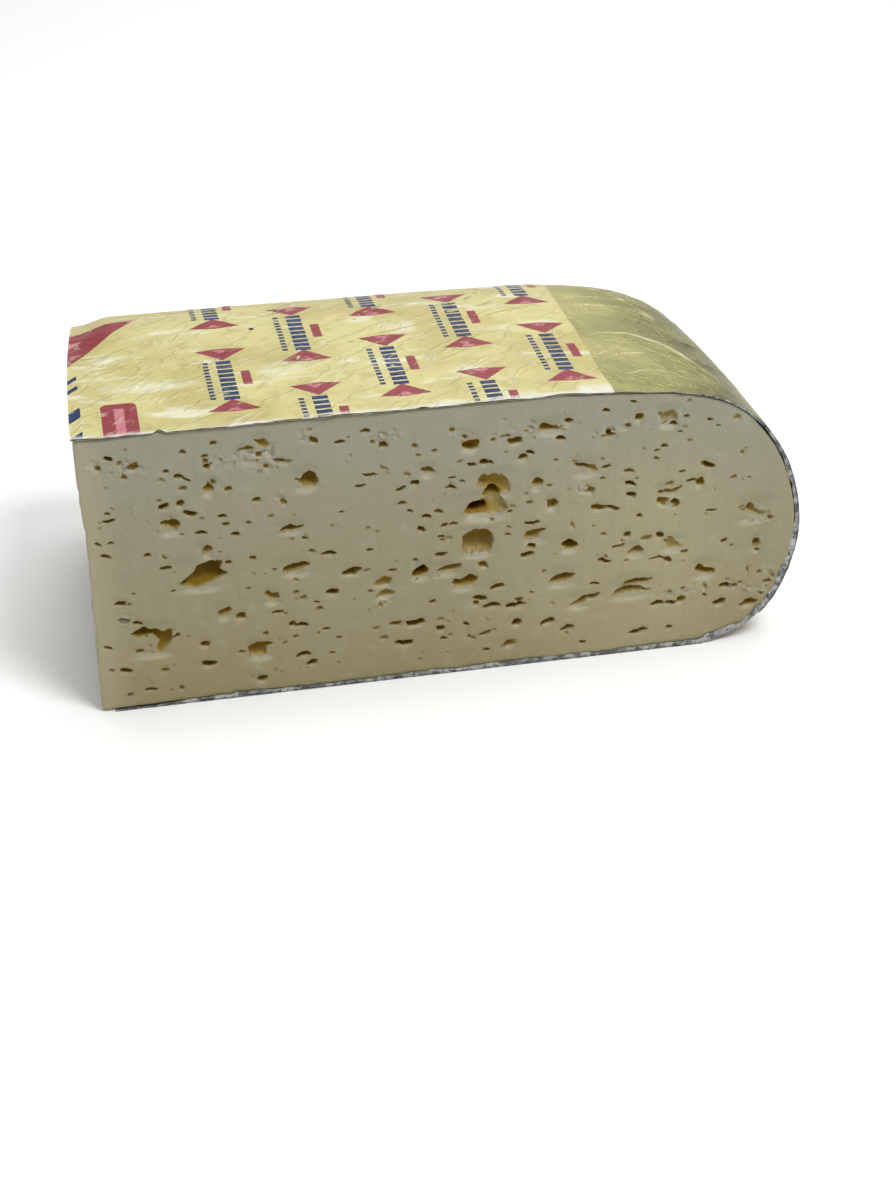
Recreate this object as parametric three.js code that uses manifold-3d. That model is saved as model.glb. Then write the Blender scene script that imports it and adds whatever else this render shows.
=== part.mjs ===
// A quarter of a rectangular, foil-wrapped loaf of semi-hard cheese, lying on its underside.
//
// The whole loaf was cut once along and once across, through its middle. Two sides of the quarter
// are therefore flat cuts through the paste (the front and the left), and the other two (the back
// and the right) are the loaf's own bulging sides, still wrapped. Four pieces make it up: the paste,
// the gold foil over its top and wrapped sides, the foil sheet under it, and the label on its top.
//
// Millimetres, +Z up. X runs along the front cut, from the left cut to the wrapped end, and Y from
// the front cut to the wrapped back. The shape is described from the middle of the whole loaf, which
// is the quarter's front left corner, and is then moved so that its footprint is centred.

import * as THREE from "three";
import { mergeVertices } from "three/addons/utils/BufferGeometryUtils.js";
import Module from "manifold-3d";

const wasm = await Module();
wasm.setup();

// The loaf, from its middle.
const halfLength = 235.8; // the paste, at the widest ring
const halfWidth = 121;
const pasteHeight = 98.6;
const backSteepness = 0.55; // the long sides bulge this much as far as the ends do
const endBow = 9; // the end falls back this far from its middle to its corners
const sideBow = 2;
const cornerPower = 12; // of the superellipse in plan: the corners are tight

// The end's profile on the front cut: how far inside the widest ring, and the height as a fraction.
const bulge = [
  [79, 1],
  [63, 0.99],
  [46, 0.974],
  [36, 0.953],
  [28, 0.924],
  [20.8, 0.88],
  [15.2, 0.825],
  [9.1, 0.742],
  [4.6, 0.65],
  [1.2, 0.533],
  [0, 0.433],
  [0.8, 0.333],
  [3.8, 0.217],
  [7.5, 0.14],
  [13.3, 0.076],
  [22.8, 0.022],
  [33, 0],
];

// The wrapping. Each layer keeps a small gap to the one inside it.
const layerGap = 0.3;
const foilThickness = 0.4;
const labelThickness = 0.3;
const labelLength = 169.5; // from the left cut to the label's straight edge
const labelFoot = 66; // height of the label's lower edge on the wrapped back
const foilFoot = 7; // height of the foil's lower edge on the wrapped sides
const baseInset = 5; // the base sheet stops this far short of the left cut

// Smoothness.
const quarterSides = 26;
const eyeSides = 12;
const eyeRings = 8;

const pasteBase = foilThickness + layerGap;
const foilOuter = layerGap + foilThickness;
const labelInner = foilOuter + layerGap;
const clear = 20; // how far the cutting blocks reach past the loaf

// ---- Solids -------------------------------------------------------------------------------------

// A closed three.js geometry as a solid that can be joined and cut.
function solidOf(geometry) {
  const bare = new THREE.BufferGeometry()
    .setAttribute("position", geometry.getAttribute("position"))
    .setIndex(geometry.index);
  const merged = mergeVertices(bare, 1e-4);
  return new wasm.Manifold(
    new wasm.Mesh({
      numProp: 3,
      vertProperties: merged.attributes.position.array,
      triVerts: new Uint32Array(merged.index.array),
    }),
  );
}

// A solid back as a three.js geometry.
function geometryOf(solid) {
  const mesh = solid.getMesh();
  const geometry = new THREE.BufferGeometry()
    .setAttribute("position", new THREE.BufferAttribute(mesh.vertProperties, 3))
    .setIndex(new THREE.BufferAttribute(mesh.triVerts, 1))
    .toNonIndexed();
  geometry.computeVertexNormals();
  return geometry;
}

// The room that the two cuts leave, between two heights and as far as a length from the left cut.
function cutRoom(length, low, high) {
  const width = halfWidth + clear;
  const geometry = new THREE.BoxGeometry(length, width, high - low);
  return solidOf(geometry.translate(length / 2, width / 2, (low + high) / 2));
}

// ---- The loaf ------------------------------------------------------------------------------------

// Where a ring of the loaf runs, at a direction from the middle and a distance outside the paste.
function ringPoint(ring, angle, offset) {
  const [inset, rise] = bulge[ring];
  const before = bulge[Math.max(ring - 1, 0)];
  const after = bulge[Math.min(ring + 1, bulge.length - 1)];
  const run = (before[0] - after[0]) / pasteHeight;
  const fall = before[1] - after[1];
  const outward = new THREE.Vector2(fall, run).normalize().multiplyScalar(offset);
  const alongX = Math.abs(Math.cos(angle));
  const alongY = Math.abs(Math.sin(angle));
  const reach = (alongX ** cornerPower + alongY ** cornerPower) ** (-1 / cornerPower);
  const x = alongX * reach;
  const y = alongY * reach;
  const length = halfLength - inset + outward.x - endBow * y * y;
  const width = halfWidth - inset * backSteepness + outward.x - sideBow * x * x;
  return new THREE.Vector3(
    Math.sign(Math.cos(angle)) * x * length,
    Math.sign(Math.sin(angle)) * y * width,
    pasteBase + pasteHeight * rise + outward.y,
  );
}

// The directions round the loaf, closest together at its four corners.
function directions() {
  const angles = [];
  for (let side = 0; side < 4; side++) {
    for (let i = 0; i < quarterSides; i++) {
      const along = (2 * i) / quarterSides - 1;
      const eased = Math.sign(along) * Math.abs(along) ** 1.7;
      angles.push((side + 0.5 + eased / 2) * (Math.PI / 2));
    }
  }
  return angles;
}

// The whole loaf, a distance outside the paste, as a closed solid.
function loaf(offset) {
  const around = directions();
  const sides = around.length;
  const points = [];
  for (let ring = 0; ring < bulge.length; ring++) {
    for (const angle of around) {
      points.push(ringPoint(ring, angle, offset));
    }
  }
  const top = points.length;
  const foot = top + 1;
  points.push(new THREE.Vector3(0, 0, points[0].z));
  points.push(new THREE.Vector3(0, 0, points[top - 1].z));
  const index = [];
  for (let i = 0; i < sides; i++) {
    const j = (i + 1) % sides;
    index.push(top, i, j);
    for (let ring = 1; ring < bulge.length; ring++) {
      const above = (ring - 1) * sides;
      const below = ring * sides;
      index.push(above + i, below + i, below + j);
      index.push(above + i, below + j, above + j);
    }
    const last = (bulge.length - 1) * sides;
    index.push(foot, last + j, last + i);
  }
  return solidOf(new THREE.BufferGeometry().setFromPoints(points).setIndex(index));
}

// ---- The paste and its eyes ----------------------------------------------------------------------

// The larger eyes that each cut opened: along the cut, up from the underside, width, height, and
// tilt in degrees. They are flattened, because the curd was pressed.
const frontEyes = [
  [37, 49, 14, 8, 24],
  [130, 71, 10, 7, 0],
  [128, 62.5, 15, 6, 6],
  [125.5, 51.7, 10, 6, 0],
  [19, 29, 13, 5, -8],
  [53, 18, 8, 6, 0],
  [72, 79.5, 5, 4, 0],
  [27.5, 68, 6, 4, -12],
  [40, 80, 4, 4, 0],
  [66, 62, 8, 3, 12],
  [66, 47.5, 8, 4, 8],
  [84, 44, 7, 2.5, 10],
  [107, 41, 5, 4, 20],
  [117, 42, 8, 3, 6],
  [122, 34, 8, 4.5, 8],
  [156, 45, 5.5, 3.5, 0],
  [154, 32.5, 8, 4, 6],
  [178, 26, 13, 5, 8],
  [162.5, 23, 8, 3.5, 16],
  [192, 42, 7, 4, -14],
  [204, 29, 7, 3, 6],
  [149, 89, 9, 3, -8],
  [101, 14.5, 7, 2.5, 0],
  [105, 22, 7, 2.5, 6],
  [188, 61, 8, 2.5, 4],
];
const leftEyes = [
  [18, 57, 9, 5, 10],
  [35, 27, 8, 5, -6],
  [47, 74, 7, 4, 8],
  [58, 46, 11, 7, 0],
  [78, 29, 7, 4, 12],
  [82, 66, 6, 5, 0],
  [100, 48, 9, 4, -8],
];
const eyeDepth = 0.5; // of an eye's width, into the paste

// An eye that opens on the front cut, made at the loaf's middle.
function eye(width, height, tilt) {
  return new THREE.SphereGeometry(1, eyeSides, eyeRings)
    .scale(width / 2, width * eyeDepth, height / 2)
    .rotateY(-THREE.MathUtils.degToRad(tilt));
}

function paste() {
  let solid = loaf(0).intersect(cutRoom(halfLength + clear, -clear, pasteHeight + clear));
  for (const [along, up, width, height, tilt] of frontEyes) {
    solid = solid.subtract(solidOf(eye(width, height, tilt).translate(along, 0, pasteBase + up)));
  }
  for (const [along, up, width, height, tilt] of leftEyes) {
    const opened = eye(width, height, tilt).rotateZ(Math.PI / 2).translate(0, along, pasteBase + up);
    solid = solid.subtract(solidOf(opened));
  }
  return geometryOf(solid);
}

// ---- The wrapping --------------------------------------------------------------------------------

// Gold foil over the top and the two wrapped sides, cut through with the paste.
function foilWrap() {
  const room = cutRoom(halfLength + clear, foilFoot, pasteHeight + clear);
  return geometryOf(loaf(foilOuter).subtract(loaf(layerGap)).intersect(room));
}

// The flat foil sheet that the quarter lies on.
function foilBase() {
  const last = bulge.length - 1;
  const rim = directions()
    .filter((angle) => angle >= 0 && angle < Math.PI / 2)
    .map((angle) => ringPoint(last, angle, 0));
  const outline = new THREE.Shape().moveTo(baseInset, 0);
  for (const point of rim) {
    if (point.x > baseInset) {
      outline.lineTo(point.x, Math.max(point.y, 0));
    }
  }
  outline.lineTo(baseInset, rim[rim.length - 1].y).closePath();
  return new THREE.ExtrudeGeometry(outline, { depth: foilThickness, bevelEnabled: false });
}

// The printed label, stuck on the foil. It covers the middle of the loaf and laps over its long side.
function topLabel() {
  const room = cutRoom(labelLength, labelFoot, pasteHeight + clear);
  const sheet = loaf(labelInner + labelThickness).subtract(loaf(labelInner));
  return geometryOf(sheet.intersect(room));
}

// ---- The finished quarter ------------------------------------------------------------------------

const finishes = {
  paste: new THREE.MeshStandardMaterial({ color: 0xb4b098, roughness: 0.45, metalness: 0 }),
  foil: new THREE.MeshStandardMaterial({ color: 0xb8ad66, roughness: 0.35, metalness: 0.9 }),
  base: new THREE.MeshStandardMaterial({ color: 0xb4b6b4, roughness: 0.4, metalness: 0.9 }),
  label: new THREE.MeshStandardMaterial({ color: 0xd9cf94, roughness: 0.5, metalness: 0.1 }),
};

function named(name, geometry, material) {
  const mesh = new THREE.Mesh(geometry, material);
  mesh.name = name;
  return mesh;
}

const quarter = new THREE.Group();
quarter.add(
  named("cheese", paste(), finishes.paste),
  named("foil_wrap", foilWrap(), finishes.foil),
  named("foil_base", foilBase(), finishes.base),
  named("top_label", topLabel(), finishes.label),
);
quarter.position.set(-(halfLength + foilOuter) / 2, -(halfWidth + foilOuter) / 2, 0);

const piece = new THREE.Group();
piece.add(quarter);

export default piece;
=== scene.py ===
import math

import bpy
import numpy as np
import openvdb
from mathutils import Matrix, Vector


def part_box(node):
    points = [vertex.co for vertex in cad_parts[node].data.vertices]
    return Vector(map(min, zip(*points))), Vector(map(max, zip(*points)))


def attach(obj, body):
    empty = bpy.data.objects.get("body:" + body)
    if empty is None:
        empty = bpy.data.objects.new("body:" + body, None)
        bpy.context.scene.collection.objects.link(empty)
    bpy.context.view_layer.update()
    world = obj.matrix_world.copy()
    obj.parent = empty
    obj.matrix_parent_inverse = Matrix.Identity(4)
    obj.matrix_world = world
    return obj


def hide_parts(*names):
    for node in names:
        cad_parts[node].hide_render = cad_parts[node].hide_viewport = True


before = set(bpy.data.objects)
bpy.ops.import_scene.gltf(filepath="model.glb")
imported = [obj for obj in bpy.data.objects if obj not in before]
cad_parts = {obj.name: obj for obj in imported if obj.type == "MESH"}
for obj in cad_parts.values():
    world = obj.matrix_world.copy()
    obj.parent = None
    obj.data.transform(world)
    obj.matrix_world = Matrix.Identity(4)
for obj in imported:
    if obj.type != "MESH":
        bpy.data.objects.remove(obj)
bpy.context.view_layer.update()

# ---- The view ------------------------------------------------------------------------------------
# The block lies on a table and is seen from in front of its left cut, from above. The lengths in
# this file are millimetres from the block's front left corner at the table, unless they say metres.

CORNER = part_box("cheese")[0] * 1000
BLOCK_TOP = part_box("top_label")[1].z * 1000
FOCAL_SHARE = 2043 / 1195  # the lens, as a share of the frame's height

eye_point = Vector((CORNER.x + 2.3, CORNER.y - 559.1, 382.25)) / 1000
pitch, yaw, roll = math.radians(31.70), math.radians(11.47), math.radians(-0.2)
ahead = Vector(
    (math.sin(yaw) * math.cos(pitch), math.cos(yaw) * math.cos(pitch), -math.sin(pitch))
)
level = Vector((math.cos(yaw), -math.sin(yaw), 0))
upright = level.cross(ahead)
side = level * math.cos(roll) + upright * math.sin(roll)
upright = upright * math.cos(roll) - level * math.sin(roll)
camera_data = bpy.data.cameras.new("camera")
camera_data.sensor_width = 36
camera_data.lens = camera_data.sensor_width * FOCAL_SHARE
camera_data.clip_start = 0.01
camera = bpy.data.objects.new("camera", camera_data)
camera.matrix_world = Matrix.Translation(eye_point) @ Matrix((side, upright, -ahead)).transposed().to_4x4()
bpy.context.scene.collection.objects.link(camera)
bpy.context.scene.camera = camera

# ---- Cheese --------------------------------------------------------------------------------------
# A quarter of a pressed, semi-hard loaf, one solid. The front and the left side are knife cuts that
# opened flattened gas eyes; the back and the right side are the loaf's own bulging sides. It is made
# as a field of distances, so that the eyes are real hollows with lips that hang over.

HALF_LENGTH = 235.8
HALF_WIDTH = 121.0
PASTE_BASE = CORNER.z
PASTE_HEIGHT = 98.6
BACK_STEEPNESS = 0.55  # the long side bulges this much as far as the end does
END_BOW = 9.0
SIDE_BOW = 2.0
CORNER_POWER = 12
BULGE = np.array(
    [
        (79, 1), (63, 0.99), (46, 0.974), (36, 0.953), (28, 0.924), (20.8, 0.88),
        (15.2, 0.825), (9.1, 0.742), (4.6, 0.65), (1.2, 0.533), (0, 0.433), (0.8, 0.333),
        (3.8, 0.217), (7.5, 0.14), (13.3, 0.076), (22.8, 0.022), (33, 0),
    ]
)  # how far inside the widest ring, and the height as a share of the paste's


def smoothstep(low, high, value):
    """0 at low and 1 at high, level at both."""
    t = np.clip((value - low) / (high - low), 0, 1)
    return t * t * (3 - 2 * t)


def mottle(u, v, scale, seed):
    """Soft random hills over a plane, from -1 to 1, scale millimetres apart."""
    lattice = np.random.default_rng(seed).uniform(-1, 1, (257, 257))
    u, v = np.broadcast_arrays(np.asarray(u) / scale + 40, np.asarray(v) / scale + 40)
    i, j = np.floor(u).astype(int), np.floor(v).astype(int)
    s, t = u - i, v - j
    s, t = s * s * (3 - 2 * s), t * t * (3 - 2 * t)
    i, j = i % 256, j % 256
    low = lattice[i, j] * (1 - s) + lattice[i + 1, j] * s
    high = lattice[i, j + 1] * (1 - s) + lattice[i + 1, j + 1] * s
    return low * (1 - t) + high * t


def layered(u, v, scale, seed, layers=3):
    """Hills with smaller hills on them."""
    total = 0
    for k in range(layers):
        total = total + mottle(u, v, scale / 2**k, seed + k) / 2**k
    return total


# The bulge as a smooth line, by its length from the top.
bulge_inset = BULGE[:, 0]
bulge_height = BULGE[:, 1] * PASTE_HEIGHT
steps = np.hypot(np.diff(bulge_inset), np.diff(bulge_height))
knots = np.concatenate([[0], np.cumsum(steps)])
BULGE_LENGTH = knots[-1]
along_bulge = np.linspace(0, BULGE_LENGTH, 600)
ROUNDING = 31  # samples either way that are averaged
window = np.hanning(2 * ROUNDING + 1)
window /= window.sum()


def rounded(values):
    """The values along the bulge, averaged over the samples on either side."""
    fine = np.interp(along_bulge, knots, values)
    padded = np.concatenate(
        [2 * fine[0] - fine[ROUNDING:0:-1], fine, 2 * fine[-1] - fine[-2 : -ROUNDING - 2 : -1]]
    )
    return np.convolve(padded, window, mode="valid")


smooth_inset = np.maximum(rounded(bulge_inset), 0)
smooth_height = rounded(bulge_height)

# Close grid lines where the cuts are, and wider ones behind them.
MARGIN = 1.5
FINE_STEP = 0.36
COARSE_STEP = 0.6
FINE_TO = 15.0
grid_x = np.arange(-MARGIN, HALF_LENGTH + MARGIN, FINE_STEP)
grid_y = np.concatenate(
    [np.arange(-MARGIN, FINE_TO, FINE_STEP), np.arange(FINE_TO + 0.3, HALF_WIDTH + MARGIN, COARSE_STEP)]
)
grid_z = np.arange(-MARGIN, PASTE_HEIGHT + MARGIN, FINE_STEP)

# How far inside the widest ring each place on the plan is.
plan_x, plan_y = np.maximum(grid_x, 0)[:, None], np.maximum(grid_y, 0)[None, :]
low_level = np.full((len(grid_x), len(grid_y)), -12.0)
high_level = np.full_like(low_level, 215.0)
for _ in range(22):
    middle = (low_level + high_level) / 2
    reach_x = HALF_LENGTH - middle - END_BOW * (plan_y / HALF_WIDTH) ** 2
    reach_y = HALF_WIDTH - middle * BACK_STEEPNESS - SIDE_BOW * (plan_x / HALF_LENGTH) ** 2
    ring = (plan_x / np.maximum(reach_x, 1)) ** CORNER_POWER + (
        plan_y / np.maximum(reach_y, 1)
    ) ** CORNER_POWER
    outside = ring > 1
    high_level = np.where(outside, middle, high_level)
    low_level = np.where(outside, low_level, middle)
plan_inset = ((low_level + high_level) / 2).astype(np.float32)

# The paste keeps clear of the foil: a little everywhere, more at the front of the bulge, where the
# foil's edge is folded over it, and more well behind the cuts, where nothing of the paste shows.
order = np.argsort(smooth_height)
wall_inset = np.interp(grid_z, smooth_height[order], smooth_inset[order])
wall_share = 1 / np.sqrt(1 + np.gradient(wall_inset, grid_z) ** 2)
CLEARANCE = 0.35
FOLD_ROOM = 0.9
BEHIND_CLEARANCE = 0.8
fold_room = FOLD_ROOM * smoothstep(4, 16, grid_z) * (1 - smoothstep(78, 92, grid_z))
near_front = 1 - smoothstep(2, 7, grid_y)
wall = wall_inset[None, :] + fold_room[None, :] * near_front[:, None]
field = wall[None].astype(np.float32) - plan_inset[:, :, None]
field *= wall_share.astype(np.float32)
field += np.float32(CLEARANCE)
behind_left, behind_front = smoothstep(15, 40, grid_x), smoothstep(15, 40, grid_y)
field += (BEHIND_CLEARANCE * behind_left[:, None] * behind_front[None, :]).astype(np.float32)[..., None]
np.maximum(field, (grid_z - PASTE_HEIGHT).astype(np.float32), out=field)
np.maximum(field, -grid_z.astype(np.float32), out=field)
hull_field = field.copy()

# The widest eyes of the front cut: each outline, in millimetres along the cut and up it, its depth,
# and how strongly its depth darkens its colour, a painted shade. They were round once, and the press
# and the knife gave them corners.
WIDE_EYES = [
    ([(28.9, 44.5), (34, 48.6), (34.8, 50.7), (40, 52), (42.8, 51.5), (42, 49), (44.2, 47),
      (39.5, 44.8), (33.8, 42.6), (32, 43.8)], 8, 0.75),
    ([(67.2, 78.1), (69.4, 78), (70.1, 79.6), (71.7, 80.4), (73.6, 79.6), (74.3, 77.8), (74.2, 76),
      (72.8, 74.8), (70.3, 75.4), (68.9, 76.7)], 6, 0.55),
    ([(24.7, 67.6), (26.7, 68.2), (29.7, 68.1), (30.8, 66.6), (28.9, 64), (27.5, 65.5)], 4, 0.7),
    ([(38.3, 77.7), (39.9, 79.2), (40.4, 80.5), (40.9, 79.2), (42.2, 78), (41.4, 76.8),
      (39.7, 76.4)], 3.5, 0.8),
    ([(12.2, 27.7), (16.3, 30.2), (17.8, 29.1), (20.6, 28.8), (22.8, 27.6), (25.1, 28.6), (24.9, 24),
      (23.1, 22), (20.6, 19.6), (20.3, 22.1), (21.5, 24.4), (19.2, 27), (14.7, 26.4)], 5, 0.75),
    ([(62.2, 45), (62.5, 46.6), (64, 47.5), (69.7, 48.3), (70.7, 47), (66, 45.2),
      (63.1, 44.4)], 4.5, 0.7),
    ([(61.7, 59.9), (62.8, 61.3), (65, 62.2), (66.2, 61.6), (69.3, 61.2), (66.2, 60.2),
      (63.9, 59.7)], 5, 0.8),
    ([(36.4, 54.5), (37.4, 56.9), (38.6, 58), (40, 57.1), (39.8, 55.9), (38.2, 54.8)], 3, 0.8),
    ([(125.6, 69.2), (126.1, 72.1), (127.5, 73.3), (129.2, 72.7), (131.1, 73.3), (133.4, 72.3),
      (135.3, 70.5), (136.2, 67.7), (136.4, 65.6), (133, 65.8), (129.5, 68.4)], 2.9, 0.6),
    ([(127.5, 66.2), (128, 67.7), (129.5, 68.4), (131.7, 68.1), (133.3, 66.4), (132.4, 64.8),
      (130.3, 64.4), (128.4, 65)], 8, 1.0),
    ([(120.6, 58.5), (121.7, 61), (123.3, 63.4), (125.6, 63.8), (128.1, 64.3), (130.6, 65.1),
      (132.5, 64.6), (134.7, 62.4), (135.7, 59.8), (132, 57.8), (126, 57.6)], 3.4, 0.36),
    ([(122.7, 59.8), (123.2, 61.7), (125.8, 62.3), (128.8, 61.7), (128.6, 59.7),
      (125.8, 59.2)], 9, 1.8),
    ([(120.7, 51), (122.8, 52.4), (125, 53.4), (128.9, 52.7), (130.6, 51.3), (130.8, 49.2),
      (130.2, 45.2), (127, 44.1), (123.3, 44.4), (120.8, 45.6), (121.1, 48.8)], 6.5, 0.3),
    ([(103.9, 37.9), (104.2, 39.6), (106.1, 41.3), (107.5, 42.1), (109.2, 40.5), (108.9, 39.3),
      (106.7, 38.2)], 8, 1.7),
    ([(153.9, 44.2), (155, 45.5), (156.8, 46), (158.6, 44.9), (159.7, 43.5), (157.8, 42.3),
      (155.4, 42.5)], 7, 1.5),
    ([(117.5, 34.1), (118.1, 35.3), (120.6, 34.9), (123.1, 36.6), (125.6, 35.7), (125.8, 34.3),
      (123.9, 32.9), (120.6, 32), (118.3, 32.9)], 5, 0.7),
    ([(150.1, 30.1), (151.1, 31.9), (153.9, 33.1), (156.7, 33.3), (158.5, 32.3), (157.2, 31),
      (153.9, 29.8), (151.1, 29.4)], 4.5, 0.6),
    ([(111.7, 38.2), (112.8, 39.7), (115.6, 40.8), (119.7, 41.1), (120.2, 40), (118.3, 38.8),
      (114, 38.8)], 3.5, 0.6),
    ([(49.4, 18.1), (51.9, 19.5), (54.4, 19.6), (57.5, 18.5), (55.1, 17.8), (55, 15.3), (54.6, 14.1),
      (50, 14.3), (49.7, 16.3)], 4, 0.8),
    ([(55.8, 37.8), (56.9, 38.9), (58.1, 37.8), (59.9, 37.5), (60.4, 36), (59.4, 34.7), (57.5, 35),
      (57, 36.6)], 3.5, 0.7),
    ([(40.3, 31.2), (40.9, 33.1), (43.9, 34.2), (44.8, 33.5), (43.2, 31.6), (41.4, 30.8)], 3.5, 0.7),
    ([(175, 25.6), (176.5, 27.3), (180, 28.2), (182.9, 27.8), (185.4, 27.6), (183, 26.2), (180.9, 26.6),
      (178, 25.6)], 4, 0.7),
    ([(171.6, 21.7), (173.4, 24.1), (176.5, 25.4), (180, 24.8), (182.9, 23.7), (184.9, 23.2),
      (182.9, 22.6), (179.4, 23.3), (175.3, 22.7)], 4, 0.6),
    ([(200.5, 29.2), (201.8, 31.3), (202.6, 30), (205, 28.9), (207.5, 28.4), (207.1, 26.5),
      (204.7, 26.9), (202.6, 27.8)], 5, 0.9),
    ([(214.9, 50), (216.7, 51.1), (217.6, 52.8), (218.9, 52.1), (218.9, 50.6), (221, 49.7),
      (223.6, 48.4), (224.1, 46.2), (222.5, 47.3), (220.2, 47.8), (218.6, 49.7),
      (216.9, 50.3)], 2.6, 0.7),
    ([(185.3, 87.2), (186.4, 88.8), (188.4, 89.7), (190.2, 89.1), (190.7, 86.8), (189.6, 84.8),
      (187, 85.2)], 1.7, 0.5),
    ([(144.9, 87.2), (146.4, 89.5), (150, 88.4), (153.6, 86.4), (150.2, 86.5), (147, 86.8)], 4, 0.8),
    ([(157.2, 73.3), (158.6, 73.9), (161.2, 73.4), (163.9, 72.3), (165.7, 70.3), (164.1, 70.1),
      (162.3, 71.7), (159.6, 72.6)], 3, 0.7),
    ([(185.8, 60.1), (186.4, 60.8), (190.6, 60.7), (193.9, 61.7), (192, 59.8), (190.4, 59.1),
      (187, 59)], 3.2, 0.6),
    ([(61, 85.7), (63.9, 85.6), (66.8, 84.5), (64.7, 84.1), (61.7, 84.8)], 2.6, 0.5),
    ([(49.4, 90), (52.8, 91.1), (54.9, 90.6), (54.2, 89.7), (52, 89.5)], 2.6, 0.8),
    ([(55.4, 93), (57.8, 93.3), (59.8, 91.6), (59.7, 89.4), (57.8, 90.5), (56.3, 91.8)], 1.6, 0.9),
    ([(141.3, 48.8), (142.2, 50.5), (145.6, 51.1), (148.4, 50.9), (146.1, 49.6), (145.6, 47.8),
      (142.8, 47.1)], 3, 0.7),
    ([(107.1, 77), (108.1, 77.9), (110.3, 77.7), (112, 76.3), (111.1, 75.4), (108.3, 76.2)], 2.8, 0.8),
    ([(156.7, 20.2), (159.7, 21.8), (162.1, 23.7), (164.2, 23.7), (162.3, 21.2), (160, 19.9)], 4, 0.6),
    ([(188.5, 42.1), (191.2, 41.8), (193.8, 40.6), (196, 38.3), (193.5, 38.6), (190.6, 38.7),
      (189.6, 40.6)], 1.7, 0.7),
    ([(176.4, 38.1), (178.2, 39.8), (179.4, 40.8), (180.7, 40.3), (182.2, 38.7), (180, 37.5),
      (177.4, 37.5)], 3.5, 0.6),
    ([(220.1, 37.4), (220.4, 38.8), (222.4, 38.7), (222.8, 37), (221.6, 35.1),
      (220.3, 35.4)], 3.5, 0.8),
    ([(143.7, 68.2), (144.4, 69.9), (145.8, 70.2), (147.2, 68.7), (146.8, 67.2),
      (144.6, 66.8)], 4, 0.8),
]

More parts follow.
